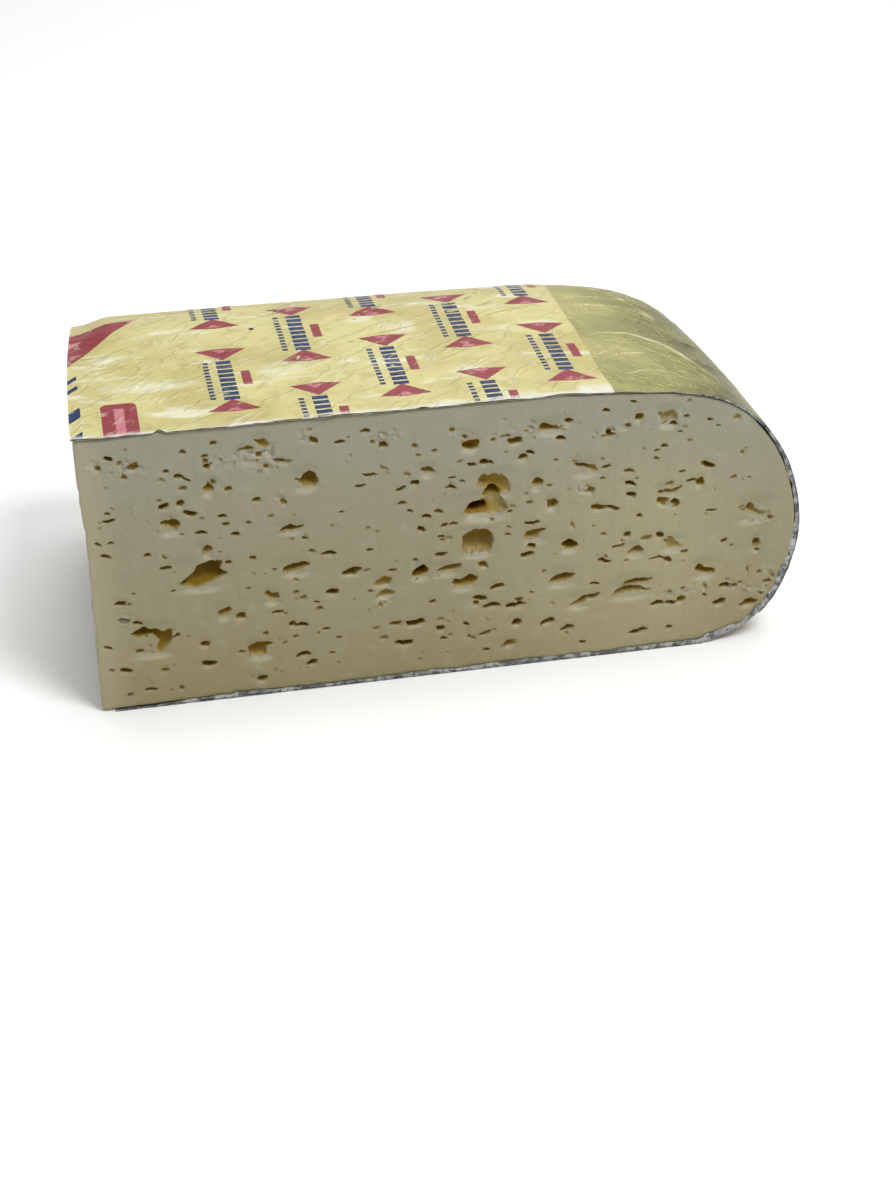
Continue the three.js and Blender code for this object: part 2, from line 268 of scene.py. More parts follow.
# Other eyes of that cut: place along it and up it, width, height, tilt in degrees, and depth as a
# share of the width.
FRONT_EYES = [
    (165.4, 23.2, 4.6, 1.5, 20, 0.4), (84.2, 42.8, 6.6, 2.1, 19, 0.55), (192, 56, 3.4, 1.8, -24, 0.7),
    (187.6, 57, 4.4, 1.8, -8, 0.4), (155, 89.7, 2.8, 1.4, 0, 0.8), (152.6, 83.6, 3.2, 1.2, -10, 0.9),
    (47.8, 30.6, 3.6, 2, 30, 0.6), (77.8, 36, 4.4, 1.9, 10, 0.9), (144, 44.8, 3, 1.2, -14, 0.9),
    (142.4, 42, 4.6, 1.6, 8, 0.6), (140.2, 78.4, 3, 1.7, 0, 0.8), (142.6, 79.7, 3.4, 1.1, -20, 0.7),
    (123.6, 77.4, 3.2, 1.1, -16, 0.7), (127.6, 77.9, 3, 1.7, 0, 1.3), (129.6, 77.6, 2.6, 0.9, -24, 1),
    (123.4, 84.6, 5.6, 3, 6, 0.6), (137.8, 84.4, 5, 2, 5, 0.5), (105.4, 73, 3, 1.6, 4, 0.9),
    (203, 68.4, 3.8, 1.6, -4, 0.9), (200.2, 62.8, 2.8, 2.6, 0, 0.8), (197, 63.6, 3.6, 1, 0, 0.7),
    (176.4, 64.7, 4.2, 1.2, -26, 0.7), (177, 60.6, 3.4, 1.5, -4, 1), (163.2, 63.6, 2.6, 2, 10, 0.6),
    (150.4, 60.4, 3.6, 3, 12, 0.6), (107.2, 55.8, 2.9, 1.5, -26, 1), (108.9, 60.3, 3.4, 1.2, -4, 0.8),
    (113, 61.7, 3, 1.3, -6, 0.5), (113.6, 45.6, 3.8, 1.4, 6, 0.7), (176.2, 45.7, 2.4, 1.9, -30, 0.8),
    (210, 39.4, 2.4, 1.2, 30, 0.8), (211.8, 21.6, 4.6, 1.6, -4, 0.7), (138.4, 23, 6.6, 1.6, 10, 0.6),
    (130.6, 23.8, 6.4, 1.5, 4, 0.4), (126.8, 27.2, 5, 1.8, -6, 0.5), (139.2, 16.2, 3.4, 2.2, 26, 0.9),
    (150, 15.2, 5.4, 1.7, 16, 0.6), (156.6, 11.8, 4.6, 1.6, 16, 0.5), (136.6, 8, 5.6, 1.9, 26, 0.3),
    (181.6, 7.2, 6.8, 1.4, 6, 0.6), (162.2, 5.4, 2.6, 1, 0, 0.9), (210, 15.2, 4.6, 2, 8, 0.7),
    (188, 17.4, 5, 1.4, 8, 0.5), (193, 17, 5, 1.3, -4, 0.5), (196.2, 18, 3, 2, 20, 0.7),
    (220.4, 13.6, 6, 2.2, 12, 0.4), (94.4, 37.7, 6, 2.6, 24, 0.28), (95, 33, 6, 2, 14, 0.25),
    (105, 20.6, 6.6, 2.1, 7, 0.8), (98.4, 21, 4.2, 1.3, 6, 0.4), (113.4, 17.2, 3.1, 1.7, -2, 0.9),
    (101.2, 13.2, 6.4, 1.8, -2, 0.8), (114.2, 13, 2.6, 1, 0, 0.9), (128.4, 13.2, 4.4, 1.2, 20, 0.4),
    (64.2, 25.4, 2.4, 1.7, 20, 0.9), (67.4, 24.7, 4.4, 1.3, 0, 0.8), (67.4, 13.1, 5.4, 1.4, 12, 0.6),
    (70, 9.6, 3.8, 1.7, 22, 1), (53.4, 5.6, 3.4, 2, 4, 0.7), (36.4, 13.6, 5, 1.9, -4, 0.8),
    (35.6, 21.4, 3.2, 1.9, -6, 0.7), (9.6, 14.4, 4.2, 1.5, -10, 0.8), (16.8, 6, 4.4, 0.9, -2, 0.7),
    (27, 5.2, 1.7, 1.4, 0, 0.7), (75.2, 22, 2.5, 0.9, 4, 0.8), (25, 51.2, 4, 1.1, -4, 0.7),
    (77.2, 50.4, 5, 1.2, -4, 0.7), (26, 73.3, 3.6, 1.6, 24, 0.8), (31.2, 73.8, 2.4, 2, -20, 0.9),
    (34, 69.9, 4.4, 1.5, -14, 0.8), (9.2, 70, 4.2, 0.9, 4, 0.7), (43.8, 67.7, 3, 1, -8, 0.8),
    (44.8, 64.8, 2.4, 1, 6, 0.8), (37, 62.7, 3.8, 1.1, -6, 0.7), (47.8, 61, 2.9, 1.2, 6, 0.8),
    (73.6, 91.4, 3.4, 1.6, -50, 0.5), (31.2, 83.2, 3, 1.3, 6, 0.8), (33.6, 82, 3.4, 0.7, -40, 0.7),
    (33.2, 91.4, 2.2, 1.1, -24, 0.7), (39.8, 89.3, 2.4, 0.8, 0, 0.7), (40.2, 85.6, 2.2, 1.4, 6, 0.9),
    (81.8, 89.8, 3.4, 1, 0, 0.7), (27.6, 85.3, 2, 1.1, -10, 0.8), (90, 92.8, 3.2, 1.2, 0, 0.5),
    (95.4, 87.2, 3, 1.5, 0, 0.6), (10.6, 91.6, 3, 1.3, -24, 1.2), (17.6, 88, 4.2, 1.8, 8, 0.3),
    (105.4, 86, 2, 1.5, 0, 0.6), (178.2, 88.6, 2.8, 2.2, -40, 0.7), (190, 84.7, 3, 1, -4, 0.8),
    (168, 83, 5.4, 0.7, 12, 0.6), (167.2, 91.9, 2.6, 1, 0, 0.8), (202, 85.1, 2, 0.9, 0, 0.7),
    (194, 87.2, 2, 1, -14, 0.7), (192.2, 81.8, 2, 0.7, 0, 0.7), (166, 57, 5.6, 1.8, -4, 0.4),
    (171, 56.2, 5, 1.1, -20, 0.4), (10, 40, 3.8, 1.5, 8, 0.7), (10.6, 33.6, 3.6, 1.2, -10, 0.6),
    (14.6, 32, 3.8, 1, -12, 0.6), (6.9, 57.6, 3.4, 1.1, -24, 0.6), (4.9, 62.2, 2.2, 0.9, -36, 0.6),
    (8.9, 62.2, 2.2, 0.8, 10, 0.6), (14.4, 21.4, 3, 1.3, 0, 0.5), (4.6, 23.8, 2.6, 1, -14, 0.6),
    (66, 37.2, 2, 0.9, 10, 0.6), (59.8, 30.5, 4, 1, 10, 0.4), (73.4, 30.2, 2.2, 1.2, 0, 0.7),
    (55.4, 22.8, 2, 1.2, 20, 0.6), (101, 66, 3, 1, 6, 0.6), (103.6, 62.9, 2, 0.9, -10, 0.7),
    (100.8, 71.2, 3.4, 1, 24, 0.6), (90.8, 77.2, 4.4, 0.9, -4, 0.5), (87.6, 73.6, 3.6, 0.9, 2, 0.5),
    (117, 70, 3.6, 1.1, -4, 0.6), (117.2, 73.4, 2.6, 0.7, 0, 0.6), (127.6, 40, 3.2, 1.9, -26, 0.6),
    (132.6, 31, 5.4, 1.4, 14, 0.6), (143.6, 53.8, 5.4, 1, 0, 0.5), (117.8, 56.4, 3, 0.9, -4, 0.5),
    (113.6, 52.2, 2.6, 0.9, 0, 0.7), (116.4, 51.8, 1.6, 2, 20, 0.5), (135.8, 50.3, 2, 0.7, 0, 0.7),
    (157.4, 51.6, 1.4, 2.2, 20, 0.6), (90.2, 50.1, 2.2, 0.9, 0, 0.8), (85.4, 43.6, 3, 1.4, 4, 0.7),
    (97.4, 41.6, 3, 0.9, 10, 0.5), (180, 52.3, 2, 1.1, 0, 0.9), (168, 46.7, 2, 0.8, 0, 0.6),
    (172.6, 41.4, 3.4, 0.7, 0, 0.6), (182.8, 43.6, 3.8, 1.6, 8, 0.3), (187.4, 44.2, 2.8, 1.9, -36, 0.8),
    (168.8, 36.3, 4.4, 1.1, -10, 0.6), (190.8, 34.2, 2.8, 1.7, -36, 0.7), (187, 35.3, 6, 0.6, -4, 0.5),
    (204.8, 51.5, 4, 0.7, 6, 0.5), (165.8, 28, 3.4, 0.9, -10, 0.6), (204.4, 22.4, 1.2, 2.4, 26, 0.7),
    (219, 27.2, 0.9, 2, 0, 0.9), (226.6, 21.6, 3, 1.2, -10, 0.5), (213.8, 72.2, 1.2, 1.4, 0, 0.8),
    (184.6, 73, 2, 0.9, -24, 0.6), (168, 71.7, 3.2, 1, 14, 0.5), (175.8, 69.4, 3.6, 1.2, -10, 0.4),
    (193.8, 67.2, 2.6, 0.8, 4, 0.5), (215, 51.6, 2.2, 0.6, 20, 0.5), (151, 76, 2, 0.6, -10, 0.5),
]
# Patches of that cut that tore instead of cutting cleanly: place, half width, half height.
TORN_PATCHES = [
    (18, 87.8, 5, 3), (5, 89.3, 3.4, 3), (56, 85.8, 7, 6), (44, 85.8, 6, 2.4), (72, 92.8, 4, 2.6),
    (58, 81.8, 3.4, 3), (188, 86.8, 4, 2.6), (142, 88.2, 4.6, 2.6), (172, 85.4, 9, 2.2),
    (152, 86.8, 5, 2), (43, 80.4, 2, 2), (128, 55.6, 3, 1.6), (222, 47.8, 4, 3), (167, 37.4, 2.4, 2),
    (196, 20.8, 6, 2), (226, 25.8, 3.4, 3), (132, 85.8, 5, 2), (120, 88.8, 5, 2.4), (95, 89.8, 6, 2.6),
    (223, 18.8, 4, 3), (10, 33.8, 3, 2), (124.6, 24.4, 3, 1.4), (190, 55.2, 3, 1.6), (62, 72.8, 2, 2.4),
    (95, 30.2, 3.4, 2), (161, 63.8, 3, 2), (214, 20.8, 5, 3),
]
SMALL_FRONT_EYES = 210
SMALL_LEFT_EYES = 190

chance = np.random.default_rng(41)


def scattered(count, length, height, large):
    """Random eyes over a cut: a few large, most of them small flat slits that rise to the right."""
    found = []
    for _ in range(count):
        width = 0.9 + 1.9 * chance.random() ** 2.2
        if large:
            width += 7.5 * chance.random() ** 7
        flat = chance.uniform(0.3, 0.55) if width < 5 else chance.uniform(0.36, 0.62)
        place = (chance.uniform(5, length - 6), chance.uniform(4, height - 4))
        found.append((*place, width, width * flat, chance.normal(6, 14), chance.uniform(0.3, 0.8)))
    return found


front_eyes = FRONT_EYES + scattered(SMALL_FRONT_EYES, 228, PASTE_HEIGHT, False)
for along, up, half_width, half_height in TORN_PATCHES:
    for _ in range(int(half_width * 0.6)):
        place = (
            along + half_width * chance.uniform(-0.9, 0.9),
            up + half_height * chance.uniform(-0.9, 0.9),
        )
        width = chance.uniform(0.7, 2.2)
        front_eyes.append((*place, width, width * chance.uniform(0.4, 0.8), chance.normal(0, 35), 0.6))
left_eyes = scattered(SMALL_LEFT_EYES, 112, PASTE_HEIGHT, True)

# The two cuts: slow waves, patches that tore, a soft slope under each eye where the knife drew the
# paste down, and a slight lip over it.
face_x, face_z = grid_x[:, None], grid_z[None, :]
torn = np.zeros((len(grid_x), len(grid_z)))
for along, up, half_width, half_height in TORN_PATCHES:
    away = ((face_x - along) / half_width) ** 2 + ((face_z - up) / half_height) ** 2
    torn = np.maximum(torn, np.exp(-away))
torn = smoothstep(0.3, 0.8, torn + 0.35 * layered(face_x, face_z, 2.6, 8))
ragged = 0.5 + 0.5 * layered(face_x * 0.8, face_z * 1.3, 1.8, 12, 2)
flat_front = (
    0.66
    + 0.16 * layered(face_x, face_z, 42, 1)
    + 0.08 * layered(face_x, face_z * 1.5, 8, 5)
    + torn * (1.3 * ragged - 0.3)
    + 0.5 * smoothstep(97.6, 98.6, face_z) * (0.5 + 0.5 * mottle(face_x, face_z, 7, 9))
)


def draw_down(surface, along_grid, along0, up0, width, height):
    """Slopes a cut inward just under an eye, and raises it a little just over the eye."""
    reach = min(height, 3.0)
    low, high = up0 - 0.5 * height, up0 + 0.5 * height
    i0, i1 = np.searchsorted(along_grid, (along0 - 1.4 * width, along0 + 1.4 * width))
    k0, k1 = np.searchsorted(grid_z, (low - 1.8 * reach - 1, high + 1.8 * reach + 1))
    a = (along_grid[i0:i1, None] - along0) / (0.5 * width)
    below = (grid_z[None, k0:k1] - low + 0.36 * reach) / (0.34 * reach + 0.3)
    above = (grid_z[None, k0:k1] - high - 0.4 * reach) / (0.4 * reach + 0.3)
    slope = 0.34 * reach * np.exp(-(a**2) - below**2)
    lip = 0.07 * reach * np.exp(-0.7 * a**2 - above**2)
    surface[i0:i1, k0:k1] += slope - lip


LEAST_CUT = 0.12  # how far behind the CAD face a cut keeps
front_cut = flat_front.copy()
for outline, _, _ in WIDE_EYES:
    low, high = np.min(outline, 0), np.max(outline, 0)
    draw_down(front_cut, grid_x, *(low + high) / 2, *(high - low))
for along, up, width, height, _, _ in front_eyes:
    draw_down(front_cut, grid_x, along, up, width, height)
front_cut = np.maximum(front_cut, LEAST_CUT)
side_y = grid_y[:, None]
left_cut = (
    0.6
    + 1.0 * np.exp(-(((face_z - 52) / 26) ** 2))
    + 0.4 * layered(side_y + 17, face_z, 26, 21)
    + 0.05 * layered(side_y, face_z * 1.6, 7, 23)
    + 0.3 * smoothstep(0.2, 0.8, layered(side_y, face_z, 6, 26))
)
flat_left = left_cut.copy()
for along, up, width, height, _, _ in left_eyes:
    draw_down(left_cut, grid_y, along, up, width, height)
left_cut = np.maximum(left_cut, LEAST_CUT)
SOFT_EDGE = 1.6  # rounding where the left cut meets the skin
CRISP_EDGE = 0.5  # and where the front cut does
LEFT_REACH = 8.0  # how far into the paste each cut is worked out
FRONT_REACH = 6.0


def rounded_max(a, b, radius):
    """The greater of two distances, with the corner where they meet rounded."""
    blend = np.maximum(radius - np.abs(a - b), 0) / radius
    return np.maximum(a, b) + blend * blend * radius / 4


left_part = np.searchsorted(grid_x, LEFT_REACH)
left_field = left_cut[None, :, :] - grid_x[:left_part, None, None]
field[:left_part] = rounded_max(field[:left_part], left_field, SOFT_EDGE)
front_part = np.searchsorted(grid_y, FRONT_REACH)
front_field = front_cut[:, None, :] - grid_y[None, :front_part, None]
field[:, :front_part] = rounded_max(field[:, :front_part], front_field, CRISP_EDGE)
del left_field, front_field

LIP = 0.2  # how softly an eye meets the cut
RISE = 12  # degrees that an eye climbs as it goes in


def window_of(grids, low, high):
    """The part of the grid between two corners."""
    return tuple(slice(*np.searchsorted(g, (a, b))) for g, a, b in zip(grids, low, high))


def ellipsoid(along, up, into, radii, tilt, rise):
    """Roughly the distance from an ellipsoid, tilted in the cut and rising as it goes in."""
    c, s = math.cos(math.radians(tilt)), math.sin(math.radians(tilt))
    along, up = along * c + up * s, up * c - along * s
    c, s = math.cos(math.radians(rise)), math.sin(math.radians(rise))
    into, up = into * c + up * s, up * c - into * s
    whole = np.sqrt((along / radii[0]) ** 2 + (into / radii[1]) ** 2 + (up / radii[2]) ** 2)
    steep = np.sqrt(
        (along / radii[0] ** 2) ** 2 + (into / radii[1] ** 2) ** 2 + (up / radii[2] ** 2) ** 2
    )
    return whole * (whole - 1) / np.maximum(steep, 1e-6)


def outline_distance(along, up, outline):
    """The distance from an outline in the plane of the cut, less than zero inside it."""
    nearest, inside = 1e9, False
    for (x0, y0), (x1, y1) in zip(outline, outline[1:] + outline[:1]):
        ex, ey = x1 - x0, y1 - y0
        t = np.clip(((along - x0) * ex + (up - y0) * ey) / (ex * ex + ey * ey), 0, 1)
        nearest = np.minimum(nearest, (along - x0 - t * ex) ** 2 + (up - y0 - t * ey) ** 2)
        ey = ey if abs(ey) > 1e-6 else 1e-6
        inside = inside ^ (((y0 > up) != (y1 > up)) & (along < ex * (up - y0) / ey + x0))
    return np.sqrt(nearest) * np.where(inside, -1, 1)


def open_wide_eye(outline, depth, eye_shade):
    """Cuts an eye of the front cut from its outline: low and gentle at its foot, deep under its top."""
    low, high = np.min(outline, 0), np.max(outline, 0)
    climb = math.tan(math.radians(RISE))
    part = window_of(
        (grid_x, grid_y, grid_z),
        (low[0] - 2, -MARGIN, low[1] - 2),
        (high[0] + 2, depth + 3.5, high[1] + 2 + depth * climb),
    )
    a, y, z = grid_x[part[0], None, None], grid_y[None, part[1], None], grid_z[None, None, part[2]]
    into = y - flat_front[part[0], part[2]].mean()
    ripple = 0.16 * np.sin(a * 2.1 + z * 1.3) + 0.1 * np.sin(a * 4.7 - into * 1.9)
    edge = outline_distance(a + ripple, z - np.maximum(into, 0) * climb + ripple, outline)
    edge = edge + 0.1 * np.maximum(into, 0) - 0.2
    share = np.clip((z - np.maximum(into, 0) * climb - low[1]) / (high[1] - low[1]), 0, 1)
    floor_depth = depth * (0.4 + 0.6 * share)
    hollow = rounded_max(edge, into - floor_depth, min(0.7 * depth, 2.6))
    off_outline = outline_distance(grid_x[part[0], None], grid_z[None, part[2]], outline)
    # Paints shade into the eye: within and just around its outline, its depth darkens the colour this
    # strongly.
    shade_there = eye_shade_factor[part[0], part[2]]
    shade_there += (eye_shade - shade_there) * smoothstep(1.0, 0.0, off_outline)
    field[part] = rounded_max(field[part], -hollow, LIP)


def open_eye(eye, on_front):
    """Cuts one eye from its width and height."""
    along0, up0, width, height, tilt, depth = eye
    pad = width * 0.75 + 1.2
    deep = max(width * depth, 0.55)
    surface, along_grid = (front_cut, grid_x) if on_front else (left_cut, grid_y)
    skin = surface[np.searchsorted(along_grid, along0), np.searchsorted(grid_z, up0)]
    low = np.array([along0 - pad, -MARGIN, up0 - pad])
    high = np.array([along0 + pad, deep + 3.5, up0 + pad + deep * 0.6])
    turned = (0, 1, 2) if on_front else (1, 0, 2)
    part = window_of((grid_x, grid_y, grid_z), low[list(turned)], high[list(turned)])
    x, y, z = grid_x[part[0], None, None], grid_y[None, part[1], None], grid_z[None, None, part[2]]
    a, n = (x - along0, y - skin) if on_front else (y - along0, x - skin)
    u = z - up0
    turn = along0 * 1.7 + up0 * 2.3
    wave = min(width, 7) * 0.05
    a_bent = a + wave * np.sin(6.0 * u / max(height, 1.6) + turn) + 0.5 * wave * np.sin(2.1 * n + turn)
    u_bent = u + 0.9 * wave * np.sin(6.6 * a / max(width, 2) + 1.9 * turn)
    u_bent = u_bent + 0.35 * wave * np.sin(17 * a / max(width, 2) + 0.7 * turn)
    radii = (width / 2, deep, 0.64 * height)
    hollow = ellipsoid(a_bent, u_bent + 0.08 * height, n - 0.1 * deep, radii, tilt, RISE)
    field[part] = rounded_max(field[part], -hollow, LIP)


PLAIN_EYE_SHADE = 0.85
eye_shade_factor = np.full((len(grid_x), len(grid_z)), PLAIN_EYE_SHADE)  # how strongly an eye's depth darkens its colour, a painted shade
for outline, depth, eye_shade in WIDE_EYES:
    open_wide_eye(outline, depth, eye_shade)
for eye in front_eyes:
    open_eye(eye, True)
for eye in left_eyes:
    open_eye(eye, False)

# Crumbs that the knife left on the front cut: place, half width, half height.
CRUMBS = [
    (158.4, 60.2, 2.7, 0.9), (128, 55.4, 2.2, 1.2), (110.3, 44.6, 0.8, 1.3), (43.4, 42.4, 1.7, 0.7),
    (12.4, 40.8, 0.4, 0.8), (103, 42.8, 0.7, 0.6), (124.4, 44.8, 0.9, 0.5), (133, 34, 1.4, 0.5),
    (194.2, 48.4, 0.8, 0.5),
]
SMALL_CRUMBS = 60
for _ in range(SMALL_CRUMBS):
    place = (chance.uniform(6, 198), chance.uniform(8, 92))
    size = chance.uniform(0.25, 0.5)
    CRUMBS.append((*place, size * chance.uniform(1, 1.7), size))
for along, up, half_width, half_height in CRUMBS:
    part = window_of(
        (grid_x, grid_y, grid_z),
        (along - half_width - 1, -MARGIN, up - half_height - 1),
        (along + half_width + 1, 3.0, up + half_height + 1),
    )
    x, y, z = grid_x[part[0], None, None], grid_y[None, part[1], None], grid_z[None, None, part[2]]
    skin = front_cut[np.searchsorted(grid_x, along), np.searchsorted(grid_z, up)]
    crumb = ellipsoid(x - along, z - up, y - skin, (half_width, 0.4, half_height), -8, 0)
    field[part] = np.maximum(np.minimum(field[part], crumb), 0.06 - y)

MERGING = 0.01  # how far flat stretches may share a face
BAND = 2.0  # the field is cut off this far from the surface
volume = openvdb.FloatGrid(BAND)
volume.copyFromArray(np.ascontiguousarray(np.clip(field, -BAND, BAND)))
points, triangles, quads = volume.convertToPolygons(isovalue=0.0, adaptivity=MERGING)
loaf_faces = np.concatenate([triangles, quads[:, [0, 1, 2]], quads[:, [0, 2, 3]]])[:, ::-1]
loaf_points = np.stack(
    [np.interp(points[:, k], np.arange(len(g)), g) for k, g in enumerate((grid_x, grid_y, grid_z))], -1
)

# For the paste's colour: how deep each point lies under its cut, for the shade painted into the
# eyes, how torn the cut is there, and how far the knife drew it down or raised it, for a highlight
# painted on the slope under each eye and a shade painted on the lip over it.
SKIN_RIM = 0.55  # this close to the loaf's own skin nothing counts as an eye
TORN_REACH = 2.5
SMEAR_REACH = 3.5
DEEPEST = 12
ix, iy, iz = (
    np.clip(np.rint(points[:, k]).astype(int), 0, len(g) - 1)
    for k, g in enumerate((grid_x, grid_y, grid_z))
)
under_front = (loaf_points[:, 1] - front_cut[ix, iz]) * eye_shade_factor[ix, iz]
under_left = loaf_points[:, 0] - left_cut[iy, iz]
eye_depth = np.clip(np.minimum(under_front, under_left), 0, DEEPEST)
eye_depth[hull_field[ix, iy, iz] > -SKIN_RIM] = 0
torn_there = torn[ix, iz] * (loaf_points[:, 1] < TORN_REACH)
on_front, on_left = loaf_points[:, 1] < SMEAR_REACH, loaf_points[:, 0] < SMEAR_REACH
slope_for_painted_light = (front_cut - flat_front)[ix, iz] * on_front + (left_cut - flat_left)[iy, iz] * on_left
del field, hull_field

LEAN = 3.6  # the left cut runs this much to the right at its back corner
DROOP = 3.0  # that corner's sag
CORNER_Y = 90.0  # where both are reached


def settled(places):
    """The block is not quite square: its left cut slants, and the far corner of that cut has sagged."""
    moved = np.array(places, float)
    x, y, z = moved[..., 0], moved[..., 1], moved[..., 2]
    back = np.clip(y / CORNER_Y, 0, 1.3)
    sag = DROOP * smoothstep(15, 1, x) * smoothstep(50, 88, y) * np.clip(z / BLOCK_TOP, 0, 1) ** 2
    moved[..., 0] = x + LEAN * back**1.8 * np.clip(1 - x / 60, 0, 1)
    moved[..., 2] = z - sag
    return moved


def to_metres(places):
    """From millimetres from the block's front left corner to the row's frame."""
    return (settled(places) + np.array([CORNER.x, CORNER.y, 0])) / 1000


def mesh_piece(name, places, faces, finishes, shades=None):
    """A piece from points in millimetres, its faces and its materials, in the scene."""
    mesh = bpy.data.meshes.new(name)
    places, faces = to_metres(places), np.asarray(faces, np.int32)
    corners = faces.shape[1]
    mesh.vertices.add(len(places))
    mesh.vertices.foreach_set("co", places.astype(np.float32).ravel())
    mesh.loops.add(faces.size)
    mesh.loops.foreach_set("vertex_index", faces.ravel())
    mesh.polygons.add(len(faces))
    mesh.polygons.foreach_set("loop_start", np.arange(0, faces.size, corners, dtype=np.int32))
    mesh.update(calc_edges=True)
    mesh.polygons.foreach_set("use_smooth", np.ones(len(faces), bool))
    for finish in finishes:
        mesh.materials.append(finish.material)
    if shades is not None:
        mesh.polygons.foreach_set("material_index", shades.astype(np.int32))
    mesh.validate()
    piece = bpy.data.objects.new(name, mesh)
    bpy.context.scene.collection.objects.link(piece)
    return piece


def add_number(piece, name, values):
    """A number at each point, for a material to read."""
    layer = piece.data.attributes.new(name, "FLOAT", "POINT")
    layer.data.foreach_set("value", np.asarray(values, np.float32))


class Wire:
    """One number in a material, so that shader maths reads as arithmetic."""

    def __init__(self, finish, socket):
        self.finish, self.socket = finish, socket

    def maths(self, operation, *values):
        inputs = dict(enumerate(values))
        return self.finish.node("ShaderNodeMath", {"operation": operation}, inputs)

    def __add__(self, other):
        return self.maths("ADD", self, other)

    def __sub__(self, other):
        return self.maths("SUBTRACT", self, other)

    def __rsub__(self, other):
        return self.maths("SUBTRACT", other, self)

    def __mul__(self, other):
        return self.maths("MULTIPLY", self, other)

    def __truediv__(self, other):
        return self.maths("DIVIDE", self, other)

    def __pow__(self, other):
        return self.maths("POWER", self, other)

    __radd__, __rmul__ = __add__, __mul__

    def below(self, limit):
        return self.maths("LESS_THAN", self, limit)

    def least(self, other):
        return self.maths("MINIMUM", self, other)

    def most(self, other):
        return self.maths("MAXIMUM", self, other)

    def size(self):
        return self.maths("ABSOLUTE", self)

    def repeat(self, length):
        return self.maths("FLOORED_MODULO", self, length)

    def ramp(self, low, high):
        """0 below low and 1 above high, smoothly."""
        inputs = {0: self, 1: low, 2: high}
        return self.finish.node("ShaderNodeMapRange", {"interpolation_type": "SMOOTHSTEP"}, inputs)


class Finish:
    """A material and the few ways its nodes are made."""

    def __init__(self, name, **constants):
        self.material = bpy.data.materials.new(name)
        self.material.use_nodes = True
        self.tree = self.material.node_tree
        self.shader = self.tree.nodes["Principled BSDF"]
        for socket, value in constants.items():
            self.shader.inputs[socket.replace("_", " ")].default_value = value

    def put(self, socket, value):
        if isinstance(value, Wire):
            self.tree.links.new(value.socket, socket)
        else:
            socket.default_value = value

    def node(self, kind, settings, inputs, output=0):
        made = self.tree.nodes.new(kind)
        for key, value in settings.items():
            setattr(made, key, value)
        for key, value in inputs.items():
            self.put(made.inputs[key], value)
        return Wire(self, made.outputs[output])

    def place(self):
        """The point in millimetres from the block's front left corner, as a vector."""
        point = self.node("ShaderNodeTexCoord", {}, {}, "Object")
        corner = (-CORNER.x, -CORNER.y, 0.0)
        millimetres = {0: point, 1: (1000.0, 1000.0, 1000.0), 2: corner}
        return self.node("ShaderNodeVectorMath", {"operation": "MULTIPLY_ADD"}, millimetres)

    def parts(self, vector):
        made = self.tree.nodes.new("ShaderNodeSeparateXYZ")
        self.put(made.inputs[0], vector)
        return [Wire(self, socket) for socket in made.outputs]

    def stretched(self, vector, scale):
        return self.node("ShaderNodeVectorMath", {"operation": "MULTIPLY"}, {0: vector, 1: scale})

    def noise(self, vector, scale, detail=3.0, roughness=0.55):
        inputs = {"Vector": vector, "Scale": scale, "Detail": detail, "Roughness": roughness}
        return self.node("ShaderNodeTexNoise", {}, inputs)

    def mix(self, first, second, share):
        settings = {"data_type": "RGBA"}
        return self.node("ShaderNodeMix", settings, {0: share, 6: first, 7: second}, 2)

    def number(self, name):
        return self.node("ShaderNodeAttribute", {"attribute_name": name}, {}, "Fac")

    def bump(self, height, strength, distance):
        inputs = {"Height": height, "Strength": strength, "Distance": distance}
        return self.node("ShaderNodeBump", {}, inputs)

    def creases(self, vector, width, detail=4.0, roughness=0.6):
        """1 on thin lines, where a noise passes its middle value."""
        return 1 - (self.noise(vector, 1.0, detail, roughness) - 0.5).size().ramp(0.0, width)

    def set(self, **values):
        for socket, value in values.items():
            self.put(self.shader.inputs[socket.replace("_", " ")], value)


paste = Finish(
    "cheese_paste",
    Subsurface_Weight=0.12,
    Subsurface_Scale=0.003,
    Subsurface_Radius=(1.0, 0.75, 0.4),
    Specular_IOR_Level=0.12,
    Coat_Roughness=0.28,
)
spot = paste.place()
x, y, z = paste.parts(spot)
cloud = paste.noise(spot, 0.022, 3.0)
fine_cloud = paste.noise(spot, 0.16, 4.0)
streak = paste.noise(paste.stretched(spot, (0.5, 0.5, 0.018)), 1.0, 3.0)
depth_in = paste.number("eye_depth")
TOP_GREY = (0.295, 0.29, 0.208, 1)
MIDDLE_BEIGE = (0.288, 0.26, 0.158, 1)
FOOT_YELLOW = (0.285, 0.242, 0.118, 1)
RIGHT_PALE = (0.37, 0.335, 0.19, 1)
LEFT_EDGE_HIGHLIGHT = (0.40, 0.355, 0.225, 1)
CLOUD_PALE = (0.37, 0.36, 0.285, 1)
STREAK_DARK = (0.25, 0.22, 0.132, 1)
TORN_WHITE = (0.43, 0.42, 0.36, 1)
SLOPE_HIGHLIGHT = (0.50, 0.475, 0.36, 1)
LIP_PAINTED_SHADE = (0.20, 0.18, 0.10, 1)
SHADED_EYE_BEIGE = (0.31, 0.237, 0.08, 1)
SHADED_EYE_OLIVE = (0.235, 0.145, 0.014, 1)
SHADED_EYE_BROWN = (0.075, 0.017, 0.001, 1)
body = paste.mix(FOOT_YELLOW, MIDDLE_BEIGE, (z + (cloud - 0.5) * 50).ramp(0, 52))
body = paste.mix(body, TOP_GREY, (z + (cloud - 0.5) * 40).ramp(45, 96))
right_low = (x + (cloud - 0.5) * 60).ramp(110, 205) * (1 - z.ramp(50, 92)) * (1 - x.ramp(185, 225))
body = paste.mix(body, RIGHT_PALE, right_low * 0.7)
